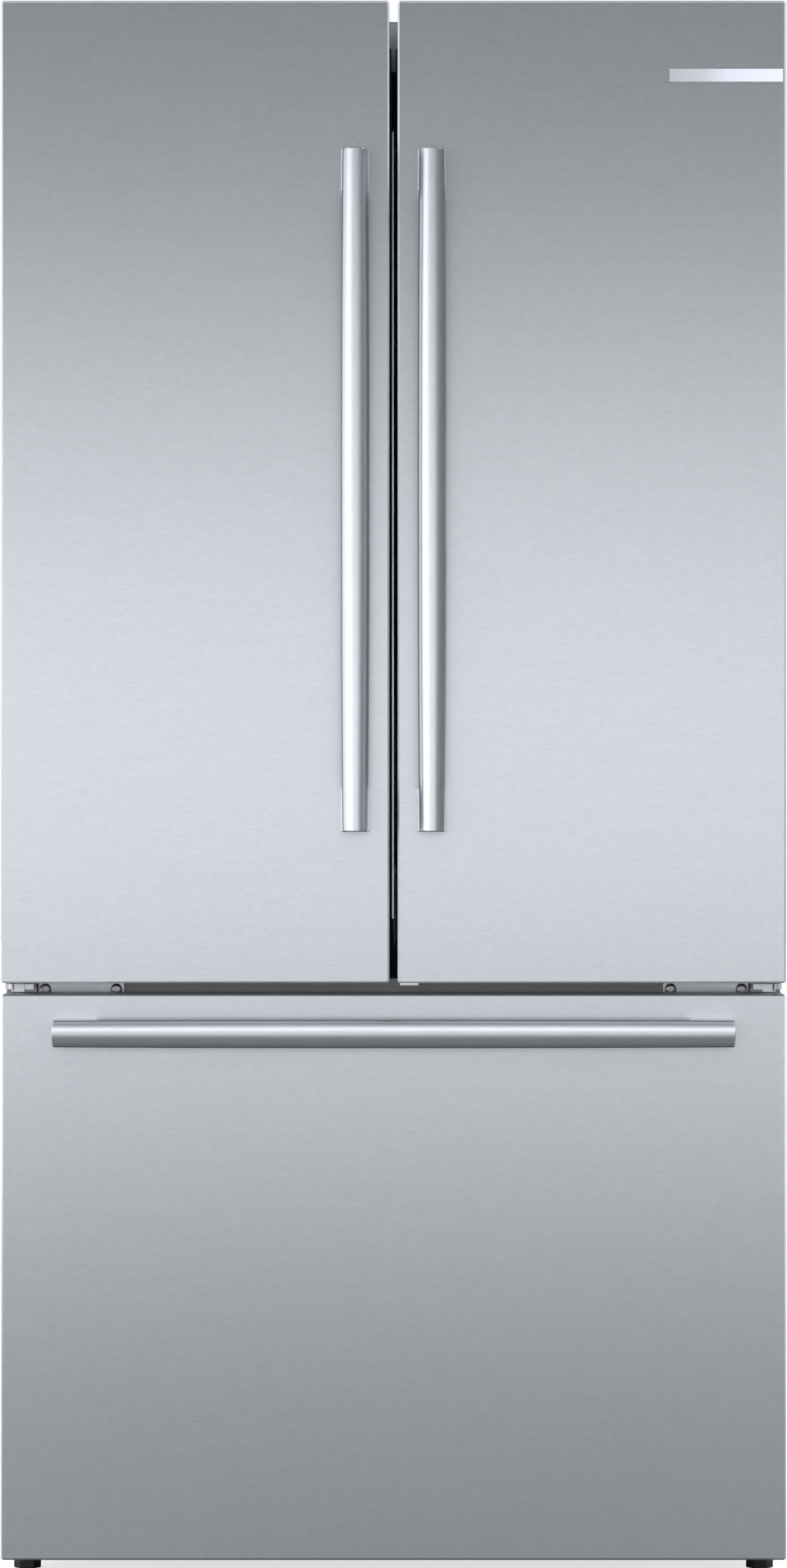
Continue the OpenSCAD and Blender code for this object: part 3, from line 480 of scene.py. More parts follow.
# %% Floor and camera
FLOOR_HALF, FLOOR_SINKS, FLOOR_GLOW = 30, 0.0002, 0.70
CAMERA_AWAY, LENS, SENSOR = 7.5, 149.4, 36
shape = bmesh.new()
bmesh.ops.create_grid(shape, x_segments=1, y_segments=1, size=FLOOR_HALF)
floor_mesh = bpy.data.meshes.new("floor")
shape.to_mesh(floor_mesh)
shape.free()
floor = bpy.data.objects.new("floor", floor_mesh)
bpy.context.scene.collection.objects.link(floor)
floor.location = (0, 0, -FLOOR_SINKS)
floor_paint, floor_shader, wire = material("white floor", Base_Color=grey(0.85), Roughness=0.9)
seen = wire.node("ShaderNodeLightPath")
sight = seen.output("Is Camera Ray")
mirrored = seen.output("Is Glossy Ray")
speck = noise(wire, (3, 3, 3))
pale = mix(wire, speck, grey(0.83), grey(0.87))
depth = wire.node("ShaderNodeSeparateXYZ", Vector=place(wire)).output("Y")
near = ramp(wire, depth * 0.2 + 1.0, [
    (0.0, 0.25), (0.4, 0.21), (0.6, 0.19), (0.75, 0.20), (0.88, 0.25)])
wire.feed(floor_shader.inputs["Base Color"], mix(wire, mirrored, pale, near))
wire.feed(floor_shader.inputs["Emission Color"], mix(wire, sight, grey(0.0), grey(1.0)))
floor_shader.inputs["Emission Strength"].default_value = FLOOR_GLOW
finish(floor, floor_paint)

camera = bpy.data.objects.new("camera", bpy.data.cameras.new("camera"))
bpy.context.scene.collection.objects.link(camera)
camera.location = MIDDLE_OF_FRONTS - Vector((0, CAMERA_AWAY, 0))
camera.rotation_euler = (math.radians(90), 0, 0)
camera.data.lens = LENS
camera.data.sensor_width = SENSOR
camera.data.clip_end = 60
bpy.context.scene.camera = camera
bpy.context.scene.view_settings.view_transform = "Standard"
print("camera at", tuple(camera.location), "lens", camera.data.lens)

# %% [markdown]
# ## The steel fronts
# Each door's front is one folded sheet, open at the back. Its outline is drawn from the
# side, because the door's top is stepped: a lip stands along the front and the cap
# behind it is lower. Every fold has a narrow flat face at 45 degrees, which draws the
# fine line round each front, and the bottom of the sheet keeps the hole for the lower
# pin. The folds carry painted light: the upright folds are painted lighter than the
# fronts as a painted highlight, and the level ones darker as painted shade, but for the
# folds under the doors, over the gap to the drawer, which are painted lighter.

# %% Outlines, openings and finishes
def pull_out(shape, outline, length):
    """Turns an outline, drawn from the side, into a solid that runs along x."""
    face = shape.faces.new(outline)
    grown = bmesh.ops.extrude_face_region(shape, geom=[face])["geom"]
    bmesh.ops.translate(shape, vec=(length, 0, 0),
                        verts=[v for v in grown if isinstance(v, bmesh.types.BMVert)])
    bmesh.ops.recalc_face_normals(shape, faces=shape.faces)


def remove_faces(shape, faces):
    bmesh.ops.delete(shape, geom=faces, context="FACES_ONLY")


def folded_edges(shape):
    """The edges that two faces share, so not those round an opening."""
    return [e for e in shape.edges if len(e.link_faces) == 2]


def height_of(face):
    return face.calc_center_median().z


def keep_flats_flat(thing):
    """Flat faces keep flat shading where they meet a rounded edge."""
    thing.modifiers.new("weighted normals", "WEIGHTED_NORMAL").keep_sharp = True
    return thing


def refinish(thing, made, test):
    """Gives another finish to the faces that pass a test on normal and centre."""
    thing.data.materials.append(made)
    last = len(thing.data.materials) - 1
    for face in thing.data.polygons:
        if test(face.normal, face.center / MM):
            face.material_index = last


# %% Steel fronts
SHEET = 1.2
FOLD_CUT, CUT_DEPTH = 2.1, 3.0
TOP_LIP = 24.0
PIN_X, PIN_Y, PIN_HOLE = 432.5, -273.0, 7.0
BELOW_GAP, ABOVE_GAP = 600.0, 720.0


def pierce(shape, face, centre, radius):
    """Opens a flat face and fills it again round a hole."""
    rim = list(face.edges)
    remove_faces(shape, [face])
    ring = bmesh.ops.create_circle(shape, segments=40, radius=radius,
                                   matrix=Matrix.Translation(centre))["verts"]
    bmesh.ops.triangle_fill(shape, edges=rim + edges_of(ring), use_beauty=True)


def folded_front(name, node, body, cap_top=None, pin_x=None):
    """A folded sheet. With cap_top, its top is a lip over a lower, open step."""
    low, high = box_mm(node)
    shape = bmesh.new()
    side = [(low[1], low[2]), (low[1], high[2]), (high[1], high[2]), (high[1], low[2])]
    if cap_top:
        lip = low[1] + TOP_LIP
        side[2:3] = [(lip, high[2]), (lip, cap_top), (high[1], cap_top)]
    pull_out(shape, [shape.verts.new((low[0], y, z)) for y, z in side], high[0] - low[0])
    remove_faces(shape, [f for f in shape.faces if f.normal.y > 0.9
                         or (cap_top and f.normal.z > 0.9 and height_of(f) < high[2] - 1)])
    upright = along(2)
    round_edges(shape, [e for e in folded_edges(shape)
                        if max(v.co.y for v in e.verts) < low[1] + 0.1
                        or not upright(*(v.co for v in e.verts))], FOLD_CUT, 1)
    if pin_x:
        under = min(shape.faces, key=lambda f: height_of(f) - f.calc_area() * 1e-6)
        pierce(shape, under, (pin_x, PIN_Y, low[2]), PIN_HOLE)
    bmesh.ops.recalc_face_normals(shape, faces=shape.faces)
    front = max(shape.faces, key=lambda f: f.calc_area())
    if front.normal.y > 0:
        bmesh.ops.reverse_faces(shape, faces=shape.faces)
    bmesh.ops.solidify(shape, geom=shape.faces, thickness=SHEET)
    thing = keep_flats_flat(store(shape, name, steel_across, body))

    def is_cut(slope, centre):
        return 0.5 < slope < 0.9 and centre.y < low[1] + CUT_DEPTH

    # Painted light on the folds: painted shade on the level folds and the drawer's upper fold,
    # painted highlight on the doors' lower folds and the upright folds.
    refinish(thing, painted_shade_fold, lambda normal, centre: is_cut(abs(normal.z), centre))
    refinish(thing, painted_highlight_door_fold, lambda normal, centre: is_cut(-normal.z, centre)
             and centre.z > BELOW_GAP)
    refinish(thing, painted_shade_drawer_fold, lambda normal, centre: is_cut(normal.z, centre)
             and centre.z < ABOVE_GAP)
    refinish(thing, painted_highlight_upright_fold, lambda normal, centre: is_cut(abs(normal.x), centre))
    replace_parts(thing, node)


cap_top = box_mm("left_door_liner")[1][2]
for side, turn in (("left", -1), ("right", 1)):
    folded_front(f"{side}_door_front", f"{side}_door_skin", f"{side}_door",
                 cap_top=cap_top, pin_x=turn * PIN_X)
folded_front("drawer_front", "drawer_skin", "freezer_drawer")
print("fronts:", [tuple(round(c) for c in box_mm(n)[1]) for n in
                  ("left_door_skin", "right_door_skin", "drawer_skin")])

# %% [markdown]
# ## Handles
# A handle is one round bar, flat at the back, that narrows a little towards its ends,
# on two flat posts. A cylinder would have neither the flat back nor the taper, so the
# section is drawn once and lofted along the length, in rings that widen and narrow. The
# ends are slightly bowed. The back and the two lines where the bar is widest are painted
# dark as painted shade, and so are the end rims of the upright bars.

# %% Handles
BAR_W, BAR_D = 32.4, 24.0
POST_LEN, POST_FRONT, POST_BACK = 49.5, 15.0, 62.0
EDGE_LEN, END_BOW, BOW_FADES = 1.1, 1.2, 40.0
AROUND, ALONG = 36, 24


def join_rings(shape, rings):
    """Adds the faces between rings of equally many vertices, one after another."""
    for a, b in zip(rings, rings[1:]):
        for k in range(len(a)):
            m = (k + 1) % len(a)
            shape.faces.new((a[k], a[m], b[m], b[k]))


def bar_section():
    """Points round the bar, from one back edge over the front to the other."""
    r = BAR_W / 2
    past = math.asin((BAR_D - r) / r)
    turns = [-past + (math.pi + 2 * past) * k / AROUND for k in range(AROUND + 1)]
    return [(r * math.cos(a), r - r * math.sin(a)) for a in turns]


def handle(name, node, body, made, end_w, post_w):
    """A bar whose ends are end_w wide, on two posts that are post_w wide."""
    low, high = box_mm(node)
    lying = high[0] - low[0] > high[2] - low[2]
    length = (high[0] - low[0]) if lying else (high[2] - low[2])
    middle = (low[2] + high[2]) / 2 if lying else (low[0] + high[0]) / 2
    start = low[0] if lying else low[2]
    shape = bmesh.new()
    rings = []
    rim = [(0.0, end_w - 1.2), (0.3, end_w - 0.5), (EDGE_LEN, end_w)]
    bowed = [(length * k / ALONG, end_w + (BAR_W - end_w) * (1 - abs(1 - k * 2 / ALONG) ** 2.2))
             for k in range(1, ALONG)]
    for at, width in rim + bowed + [(length - at, width) for at, width in reversed(rim)]:
        grow = width / BAR_W
        keep = 1 - max(0.0, end_w - width) / BAR_D
        bow = END_BOW * (1 - at / length * 2) * max(0, 1 - min(at, length - at) / BOW_FADES)
        rings.append([shape.verts.new((u * grow, BAR_D / 2 + (v - BAR_D / 2) * keep,
                                       at + bow * (u * 2 / BAR_W) ** 2))
                      for u, v in bar_section()])
    join_rings(shape, rings)
    shape.faces.new(rings[0])
    shape.faces.new(list(reversed(rings[-1])))
    for at in (POST_LEN / 2, length - POST_LEN / 2):
        post = add_box(shape, (-post_w / 2, post_w / 2), (POST_FRONT, POST_BACK),
                       (at - POST_LEN / 2, at + POST_LEN / 2))
        round_edges(shape, edges_of(post, lambda a, b: max(a.y, b.y) < POST_BACK - 2
                                    or along(1)(a, b)), 0.8, 3)
    for v in shape.verts:
        u, back, at = v.co
        v.co = ((start + at, low[1] + back, middle - u) if lying
                else (middle + u, low[1] + back, start + at))
    thing = keep_flats_flat(store(shape, name, made, body))

    def gets_painted_shade(normal, centre):
        reach = (centre.x if lying else centre.z) - start
        widest = abs(normal.z) > 0.93 if lying else not -0.93 < normal.x < 0.97
        return centre.y < low[1] + BAR_D + 0.1 and (
            widest or normal.y > (0.02 if lying else 0.9)
            or (not lying and min(reach, length - reach) < EDGE_LEN))

    # The bar's back, its widest lines and the end rims of the upright bars are darkened as painted
    # shade.
    refinish(thing, painted_shade_bar_edge, gets_painted_shade)
    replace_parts(thing, node)
    print(name, "is", round(length), "mm long and stands", round(high[1] - low[1]), "mm out")


handle("left_bar_handle", "left_handle", "left_door", steel_upright, 28.7, 32.3)
handle("right_bar_handle", "right_handle", "right_door", steel_upright, 28.7, 32.3)
handle("drawer_bar_handle", "drawer_handle", "freezer_drawer", steel_bar, 30.6, 30.4)

# %% [markdown]
# ## Nameplate strip, mullion strip and stop
# The nameplate's strip stays bare. It is satin chrome, with a painted highlight that
# grows towards its right end. A thin steel strip closes the edge of the folding mullion,
# where it shows as a light line in the gap between the doors. A black rubber pad seats
# the mullion's foot and also puts painted shade into the gap between the doors, and a
# small steel stop sits under the right door's inner corner.

# %% Small steel pieces
def rounded_box(name, body, made, x, y, z, radius, segments):
    """A box with all its edges rounded, as a piece of its own."""
    shape = bmesh.new()
    round_edges(shape, edges_of(add_box(shape, x, y, z)), radius, segments)
    return keep_flats_flat(store(shape, name, made, body))


def badge_finish():
    """Satin chrome with a painted highlight that grows towards its right end."""
    made, shader, wire = material("nameplate chrome", Base_Color=grey(0.8), Metallic=0.15,
                                  Roughness=0.35)
    left_end, per_metre = 0.32, 7.7
    across = (wire.node("ShaderNodeSeparateXYZ", Vector=place(wire)) - left_end) * per_metre
    speck = noise(wire, (200, 200, 2000))
    # Painted highlight: the chrome's colour lightens from its left end to its right end.
    tone_and_painted_light = ramp(wire, across + (speck - 0.5) * 0.04, [
        (0.0, (0.46, 0.49, 0.54, 1)), (0.3, (0.56, 0.59, 0.65, 1)),
        (0.5, (0.74, 0.77, 0.88, 1)), (0.9, (0.82, 0.85, 0.94, 1))])
    wire.feed(shader.inputs["Base Color"], tone_and_painted_light)
    wire.feed(shader.inputs["Roughness"], speck * 0.05 + 0.30)
    return made


low, high = box_mm("badge_plate")
badge = rounded_box("nameplate_strip", "right_door", badge_finish(), *zip(low, high), 0.5, 3)
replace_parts(badge, "badge_plate")

rounded_box("mullion_strip", "mullion_bar", edge_strip, (-1.6, 0.3), (-220.25, -219.9),
            (761, 1682), 0.1, 1)
# The black pad also puts painted shade into the gap between the doors.
rounded_box("mullion_seat_pad_and_gap_shade", "cabinet", rubber, (-5.6, 5.6), (-220.2, -219.8),
            (691, 719), 0.1, 1)
rounded_box("door_stop", "right_door", zinc, (7.5, 29.0), (-331, -300), (685.9, 689.2), 0.6, 2)
print("nameplate strip", [round(b - a, 1) for a, b in zip(low, high)], "mm")

# %% [markdown]
# ## Screws and feet
# The hinge screws have a domed head with a round rim and a six-sided socket, and the
# lower ones stand on flat washers. The adjustable feet are moulded hexagons with
# softened edges, on a threaded stem. Heads and feet are stacks of rings, with as many
# corners in each ring as the piece has there. The thread is a row of grooves, because
# its pitch can't be seen at this size.

# %% Screws
def screw_head(shape, at, axis, radius, tall):
    """A domed head with a hexagonal socket, standing on at along an axis."""
    grid = [(radius, 0.0), (radius, 0.35 * tall), (radius * 0.93, 0.65 * tall),
            (radius * 0.75, 0.88 * tall), (radius * 0.5, tall)]
    steps = 36
    turned = axis.to_track_quat("Z", "Y").to_matrix().to_4x4()
    to = Matrix.Translation(at) @ turned
    rings = [[shape.verts.new(to @ Vector((r * math.cos(k * math.tau / steps),
                                           r * math.sin(k * math.tau / steps), h)))
              for k in range(steps)] for r, h in grid]
    flat, sixth = radius * 0.42, math.tau / 6
    for depth in (tall, 0.3 * tall):
        ring = []
        for k in range(steps):
            a = k * math.tau / steps
            reach = flat * math.cos(sixth / 2) / math.cos((a + sixth / 2) % sixth - sixth / 2)
            ring.append(shape.verts.new(to @ Vector((reach * math.cos(a), reach * math.sin(a),
                                                     depth))))
        rings.append(ring)
    join_rings(shape, rings)
    shape.faces.new(list(reversed(rings[0])))
    shape.faces.new(rings[-1])


FORWARD, UP = Vector((0, -1, 0)), Vector((0, 0, 1))
LOWER_SCREWS, UPPER_SCREWS = (324.0, 407.0), (392.5, 412.5, 432.5)
heads, washers = bmesh.new(), bmesh.new()
for side in (-1, 1):
    for x in LOWER_SCREWS:
        screw_head(heads, Vector((side * x, -223.0, 678.5)), FORWARD, 6.5, 3.0)
        at = Matrix.Translation((side * x, -223.25, 678.5)) @ Matrix.Rotation(math.pi / 2, 4, "X")
        bmesh.ops.create_cone(washers, cap_ends=True, segments=36, radius1=6.8, radius2=6.8,
                              depth=0.5, matrix=at)
    for x in UPPER_SCREWS:
        screw_head(heads, Vector((side * x, -160.0, 1814.0)), UP, 5.5, 3.0)
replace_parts(store(heads, "hinge_screws", zinc, "cabinet"), "screws")
store(washers, "screw_washers", cap_grey, "cabinet")
print("screw heads:", 2 * len(LOWER_SCREWS + UPPER_SCREWS), "washers:", 2 * len(LOWER_SCREWS))

# %% Feet
FOOT_X, FOOT_Y, THREAD = 429, -203, 1.5
HEXAGON = [(14.2, 0), (15.4, 0.5), (15.85, 1.6), (15.85, 10.6), (15.0, 12)]
STEM = [(5.2, 12), (5.0, 12)]
for turn in range(8):
    STEM += [(4.4, 12 + THREAD * turn), (5.0, 12 + THREAD * (turn + 1))]
shape = bmesh.new()
for side in (-1, 1):
    for profile, corners in ((HEXAGON, 6), (STEM, 24)):
        rings = [[shape.verts.new((side * FOOT_X + r * math.cos(a), FOOT_Y + r * math.sin(a), h))
                  for a in (math.tau * k / corners for k in range(corners))] for r, h in profile]
        join_rings(shape, rings)
        shape.faces.new(rings[0])
        shape.faces.new(rings[-1])
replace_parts(store(shape, "hexagonal_feet", rubber, "cabinet"), "front_feet")
print("feet up to", round(box_mm("front_feet")[1][2]), "mm")

# %% [markdown]
# ## Door seals
# A seal is an extruded rubber section mitred at the four corners: a flat base on the
# door, two folds of bellows and a square pocket that holds the magnet. The section is
# drawn once and carried round each door's rim.

# %% Seals
def seal(name, node, body):
    """A seal as wide and as high as the part it replaces."""
    low, high = box_mm(node)
    deep = high[1] - low[1]
    section = [(0.6, 0), (17.4, 0), (17.4, 1.6), (13.2, 2.2), (12.2, 3.6), (13.6, 4.8), (12.4, 6.0),
               (14.6, 7.0), (16.4, 7.4), (16.4, deep - 0.7), (15.6, deep), (2.4, deep),
               (1.6, deep - 0.7), (1.6, 7.4), (3.4, 7.0), (5.4, 6.0), (4.4, 4.8), (5.8, 3.6),
               (4.8, 2.2), (0.6, 1.6)]
    shape = bmesh.new()
    loops = [[shape.verts.new((x, low[1] + v, z)) for x, z in (
        (low[0] + u, low[2] + u), (high[0] - u, low[2] + u),
        (high[0] - u, high[2] - u), (low[0] + u, high[2] - u))] for u, v in section]
    join_rings(shape, loops + loops[:1])
    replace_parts(store(shape, name, rubber, body), node)
    print(name, "is", round(deep, 1), "mm deep")


seal("left_magnetic_seal", "left_door_gasket", "left_door")
seal("right_magnetic_seal", "right_door_gasket", "right_door")
seal("drawer_magnetic_seal", "drawer_gasket", "freezer_drawer")

# %% [markdown]
# ## Liners
# The two compartments are vacuum formed from one sheet each, so every inner corner is a
# wide soft radius. Each liner is drawn as the room it encloses, its corners are
# rounded, and the sheet is thickened outwards. The freezer's back steps forward over
# the machine compartment.

# %% Liners
ROOM_HALF, MOUTH, BACK, LINER_SHEET = 405, -217, 330, 2
FRIDGE_FLOOR, FRIDGE_ROOF = 712, 1757
FREEZER_FLOOR, FREEZER_ROOF, STEP_Y, STEP_Z = 80, 630, 150, 364


def formed_room(name, node, side, radius):
    """A room whose outline, given from the side, is open at its front."""
    shape = bmesh.new()
    pull_out(shape, [shape.verts.new((-ROOM_HALF, y, z)) for y, z in side], 2 * ROOM_HALF)
    remove_faces(shape, [min(shape.faces, key=lambda f: f.calc_center_median().y)])
    round_edges(shape, folded_edges(shape), radius, 6)
    bmesh.ops.recalc_face_normals(shape, faces=shape.faces)
    bmesh.ops.reverse_faces(shape, faces=shape.faces)
    bmesh.ops.solidify(shape, geom=shape.faces, thickness=LINER_SHEET)
    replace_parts(keep_flats_flat(store(shape, name, liner_white, "cabinet")), node)


formed_room("fridge_room", "fridge_liner", [
    (MOUTH, FRIDGE_FLOOR), (BACK, FRIDGE_FLOOR), (BACK, FRIDGE_ROOF), (MOUTH, FRIDGE_ROOF)], 18)
formed_room("freezer_room", "freezer_liner", [
    (MOUTH, FREEZER_FLOOR), (STEP_Y, FREEZER_FLOOR), (STEP_Y, STEP_Z), (BACK, STEP_Z),
    (BACK, FREEZER_ROOF), (MOUTH, FREEZER_ROOF)], 16)
print("rooms:", 2 * ROOM_HALF, "mm wide and", BACK - MOUTH, "mm deep")

# %% [markdown]
# ## Tubs, bins and crispers
# These are injection moulded: thin walls, a soft radius in every corner and a rim that
# stiffens it. Each starts as a box without its lid. Its folds are rounded first and the
# wall gets its thickness last, so that the wall is even. The bins in the doors carry a
# satin metal strip along their front, and the drawers have a moulded grip.

# %% Tubs and bins
WALL, BIN_HEIGHT, CRISPER_Y = 3, 100, (-55, 310)
BIN_FLOORS = [742 + k * (FRIDGE_ROOF - FRIDGE_FLOOR - 30 - 24) / 3 for k in range(3)]


def mirrored_span(side, near, far):
    """The span between two distances from the middle, on one side of it."""
    return tuple(sorted((side * near, side * far)))


def tub_shape(shape, x, y, z, radius):
    """Adds an open tub with rounded corners and a thick rounded rim."""
    tub = bmesh.new()
    add_box(tub, x, y, z)
    remove_faces(tub, [max(tub.faces, key=height_of)])
    round_edges(tub, folded_edges(tub), radius, 5)
    bmesh.ops.recalc_face_normals(tub, faces=tub.faces)
    if min(tub.faces, key=height_of).normal.z > 0:
        bmesh.ops.reverse_faces(tub, faces=tub.faces)
    bmesh.ops.solidify(tub, geom=tub.faces, thickness=WALL)
    loose = bpy.data.meshes.new("loose")
    tub.to_mesh(loose)
    tub.free()
    shape.from_mesh(loose)
    bpy.data.meshes.remove(loose)


def tubs(name, node, body, spans, radius, grip=False):
    """One piece of as many tubs as there are spans, each with a grip if asked."""
    shape = bmesh.new()
    for x, y, z in spans:
        tub_shape(shape, x, y, z, radius)
        if grip:
            bar = add_box(shape, (x[0] + 20, x[1] - 20), (y[0] - 8, y[0] + 1), (z[1] - 16, z[1]))
            round_edges(shape, edges_of(bar), 2.5, 3)
    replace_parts(keep_flats_flat(store(shape, name, tub_plastic, body)), node)


for side, word in ((-1, "left"), (1, "right")):
    spans = [(mirrored_span(side, 68.3, 387.7), (-232.7, -143), (z, z + BIN_HEIGHT))
             for z in BIN_FLOORS]
    tubs(f"{word}_moulded_bins", f"{word}_door_bins", f"{word}_door", spans, 12)
    trims = bmesh.new()
    for x, y, z in spans:
        strip = add_box(trims, (x[0] + 6, x[1] - 6), (-144.6, -143.2), (z[1] - 16, z[1] - 4))
        round_edges(trims, edges_of(strip), 0.5, 2)
    store(trims, f"{word}_bin_trims", zinc, f"{word}_door")

for name, node, body, x, z in (
        ("left_crisper_tub", "left_crisper", "left_crisper_drawer", (-400, -8), (842.3, 992.3)),
        ("right_crisper_tub", "right_crisper", "right_crisper_drawer", (8, 400), (842.3, 992.3)),
        ("pantry_tub", "pantry_drawer", "pantry_drawer_body", (-400, 400), (712.3, 824.3))):
    tubs(name, node, body, [(x, CRISPER_Y, z)], 14, grip=True)
print("bins stand at", [round(z) for z in BIN_FLOORS], "mm")

# %% [markdown]
# ## Inside the doors
# Each door's inner face is a deep formed tray. Its rim carries the seal, a raised frame
# stands inside it, and the bins hang between the frame's sides. The frame's corners are
# large radii, as the vacuum former needs. The left face also carries three knuckles, in
# which the bar between the doors turns. At its edge the face is a thin flange that laps
# the fold of the steel, and the drawer's inner face is the same. The foam core ends
# behind that flange.

# %% Inner faces of the doors
FLANGE_BACK, FLANGE_LAP, PANEL_INSET, PANEL_FRONT = -245, 2.0, 9.0, -233
INNER_EDGE, OUTER_EDGE, DOOR_Z, DRAWER_Z = 4.75, 452.5, (688.9, 1808), (23.9, 676.1)
FRAME_Y, FRAME_Z, CORNER_STEPS = (-234, -175), (720, 1749), 6
KNUCKLE_FLOORS, KNUCKLE_R, KNUCKLE_TALL, KNUCKLE_PIN = (776, 1218, 1660), 8, 30, 2.5
MULLION_X, MULLION_Y = -44, -210
CORE_INSET, CORE_Y, CORE_Z = 1.5, (-331.5, -245.1), (700, 1797)


def raised_frame(shape, x, y, z, wide, radius, corner):
    """Adds an upright frame whose corners and front rim are rounded."""
    def loop(inset, depth, r):
        points = []
        lo, hi = (x[0] + inset, z[0] + inset), (x[1] - inset, z[1] - inset)
        for cx, cz, start in ((hi[0] - r, hi[1] - r, 0), (lo[0] + r, hi[1] - r, 1),
                              (lo[0] + r, lo[1] + r, 2), (hi[0] - r, lo[1] + r, 3)):
            for k in range(CORNER_STEPS + 1):
                a = (start + k / CORNER_STEPS) * math.pi / 2
                points.append(shape.verts.new((cx + r * math.cos(a), depth, cz + r * math.sin(a))))
        return points

    turn = [(1 - math.cos(a), math.sin(a)) for a in (k * math.pi / 8 for k in range(5))]
    outer = [(0.0, y[0])] + [(radius * u, y[1] - radius + radius * v) for u, v in turn]
    inner = [(wide - radius * u, y[1] - radius + radius * v) for u, v in reversed(turn)]
    inner.append((wide + 2.0, y[0]))
    loops = [loop(inset, depth, max(corner - inset, 3.0)) for inset, depth in outer + inner]
    join_rings(shape, loops + loops[:1])


def flanged_panel(shape, x, z):
    """Adds an inner panel whose edge is thinned to a flange."""
    add_box(shape, x, (FLANGE_BACK, FLANGE_BACK + FLANGE_LAP), z)
    panel = add_box(shape, (x[0] + PANEL_INSET, x[1] - PANEL_INSET),
                    (FLANGE_BACK + FLANGE_LAP, PANEL_FRONT),
                    (z[0] + PANEL_INSET, z[1] - PANEL_INSET))
    rim = edges_of(panel, lambda a, b: min(a.y, b.y) > PANEL_FRONT - 1)
    round_edges(shape, rim + edges_of(panel, along(1)), 3.0, 4)


def knuckle(shape, foot):
    """Adds a hinge knuckle with its arm and the pin through it, from a height up."""
    top = foot + KNUCKLE_TALL
    for r, low, high in ((KNUCKLE_R, foot, top), (KNUCKLE_PIN, foot - 12, top + 12)):
        turned = bmesh.ops.create_cone(shape, cap_ends=True, segments=40, radius1=r, radius2=r,
                                       depth=high - low)["verts"]
        bmesh.ops.translate(shape, verts=turned, vec=(MULLION_X, MULLION_Y, (low + high) / 2))
    add_box(shape, (MULLION_X - 4, MULLION_X + 4), (PANEL_FRONT, MULLION_Y - 4), (foot, top))


for side, word in ((-1, "left"), (1, "right")):
    shape = bmesh.new()
    x = mirrored_span(side, INNER_EDGE, OUTER_EDGE)
    flanged_panel(shape, x, DOOR_Z)
    raised_frame(shape, mirrored_span(side, 58, 398), FRAME_Y, FRAME_Z, 10, 4, 26)
    if side < 0:
        for foot in KNUCKLE_FLOORS:
            knuckle(shape, foot)
    inner_face = keep_flats_flat(store(shape, f"{word}_door_inner_face", liner_white,
                                       f"{word}_door"))
    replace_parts(inner_face, f"{word}_door_liner")
    shape = bmesh.new()
    add_box(shape, (x[0] + CORE_INSET, x[1] - CORE_INSET), CORE_Y, CORE_Z)
    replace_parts(store(shape, f"{word}_door_core", foam, f"{word}_door"), f"{word}_door_foam")
    print(word, "inner face from", [round(c) for c in box_mm(f"{word}_door_liner")[0]])

shape = bmesh.new()
flanged_panel(shape, (-OUTER_EDGE, OUTER_EDGE), DRAWER_Z)
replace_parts(keep_flats_flat(store(shape, "drawer_inner_face", liner_white, "freezer_drawer")),
            "drawer_inner")

# %% [markdown]
# ## Shelves, lamp bars and trims
# The glass shelves sit in white frames with a satin metal nosing. A frosted lamp bar
# runs down each side wall near the front, and stays dark while the doors are shut. Both
# are plain bars, so a box with rounded edges is all they need.

# %% Shelf nosings and lamp bars
SHELF_FROM = 1000
shape = bmesh.new()
for side in (-1, 1):
    for k in (1, 2, 3):
        z = SHELF_FROM + k * (FRIDGE_ROOF - SHELF_FROM) / 4
        nose = add_box(shape, mirrored_span(side, 6, 398), (-61.2, -59.5), (z + 1.5, z + 12.5))
        round_edges(shape, edges_of(nose), 0.6, 2)
store(shape, "shelf_nosings", zinc, "cabinet")

frosted = moulded("frosted lamp cover", (0.86, 0.88, 0.90, 1), rough=0.35, grain=700, depth=0.1)
shape = bmesh.new()
for side in (-1, 1):
    bar = add_box(shape, mirrored_span(side, 401.8, 405.4), (-196, -172), (1040, 1720))
    round_edges(shape, edges_of(bar), 1.4, 3)
lamps = store(shape, "lamp_bars", frosted, "cabinet")
print("lamp bars are", round(lamps.dimensions.z / MM), "mm long")

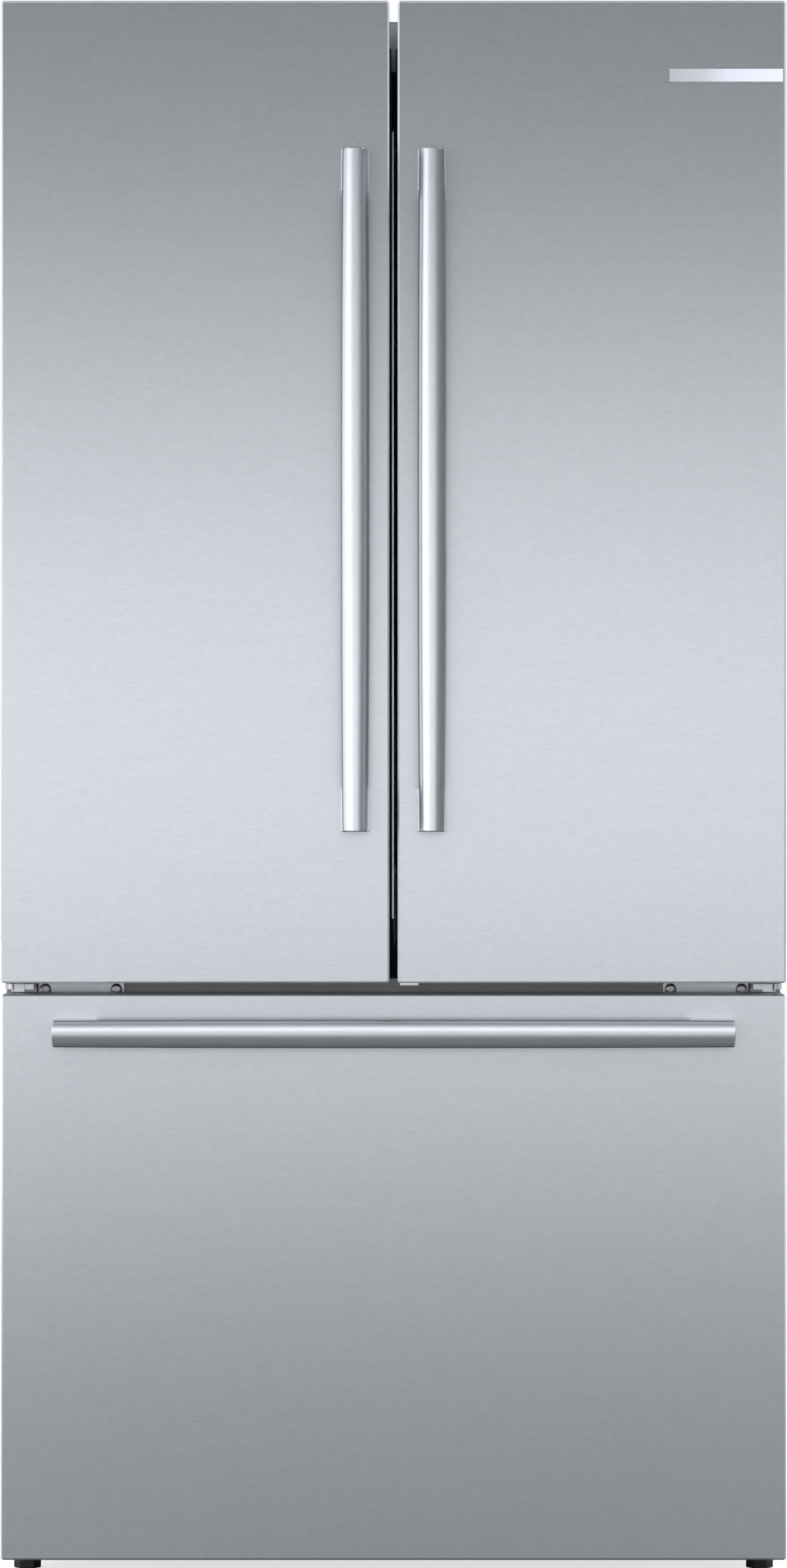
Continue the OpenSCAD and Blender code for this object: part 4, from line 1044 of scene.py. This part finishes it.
# %% [markdown]
# ## Covers over the top hinges
# The covers are small moulded caps with rounded shoulders, and a rounded nose over the
# hinge arm. One outline could hold both, but two boxes that overlap are simpler, and
# each is rounded by its own radius.

# %% Hinge covers
CAP_FOOT = 1810
shape = bmesh.new()
for side in (-1, 1):
    cap = add_box(shape, mirrored_span(side, 372.5, 450.5), (-219, -124), (CAP_FOOT, 1829))
    round_edges(shape, edges_of(cap, lambda a, b: max(a.z, b.z) > CAP_FOOT + 1), 5, 4)
    nose = add_box(shape, mirrored_span(side, 419.5, 445.5), (-286, -212), (1823, 1825))
    round_edges(shape, edges_of(nose, lambda a, b: along(2)(a, b) and a.y < -280), 12.5, 8)
covers = keep_flats_flat(store(shape, "moulded_hinge_covers", case_paint, "cabinet"))
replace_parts(covers, "hinge_covers")
print("hinge covers reach", round(box_mm("hinge_covers")[1][2]), "mm")

# %% [markdown]
# ## Softer edges on the remaining parts
# No sheet, casting or moulding has a knife edge. The solids arrive with every face cut
# loose, so they are first welded, their flat faces are joined, and then a small bevel
# runs along each edge. The weighted normals keep the broad faces flat.

# %% Softened edges
SOFTENED = {
    0.6: ["shelf_frames", "crisper_frame", "centre_hinges", "top_hinges", "evaporator_fan",
          "condenser_fan", "rear_rollers"],
    1.0: ["left_side_panel", "right_side_panel", "top_panel", "back_panel", "base_pan",
          "rear_cover", "power_gland", "left_door_caps", "right_door_caps"],
    1.6: ["basket", "tray", "air_covers", "mullion", "drain_pan"],
    3.0: ["ice_maker", "compressor"],
}


def soften(name, radius):
    """Rounds the edges of a part where it stands, by modifiers alone."""
    thing = bpy.data.objects[name]
    thing.modifiers.new("weld", "WELD").merge_threshold = 1e-6
    flat = thing.modifiers.new("flat faces", "DECIMATE")
    flat.decimate_type = "DISSOLVE"
    flat.angle_limit = math.radians(0.5)
    edge = thing.modifiers.new("soft edges", "BEVEL")
    edge.width = radius * MM
    edge.segments = 3
    edge.limit_method = "ANGLE"
    edge.angle_limit = math.radians(40)
    edge.use_clamp_overlap = True
    keep_flats_flat(thing)


for radius, names in SOFTENED.items():
    for name in names:
        soften(name, radius)
print("softened:", sum(len(names) for names in SOFTENED.values()))
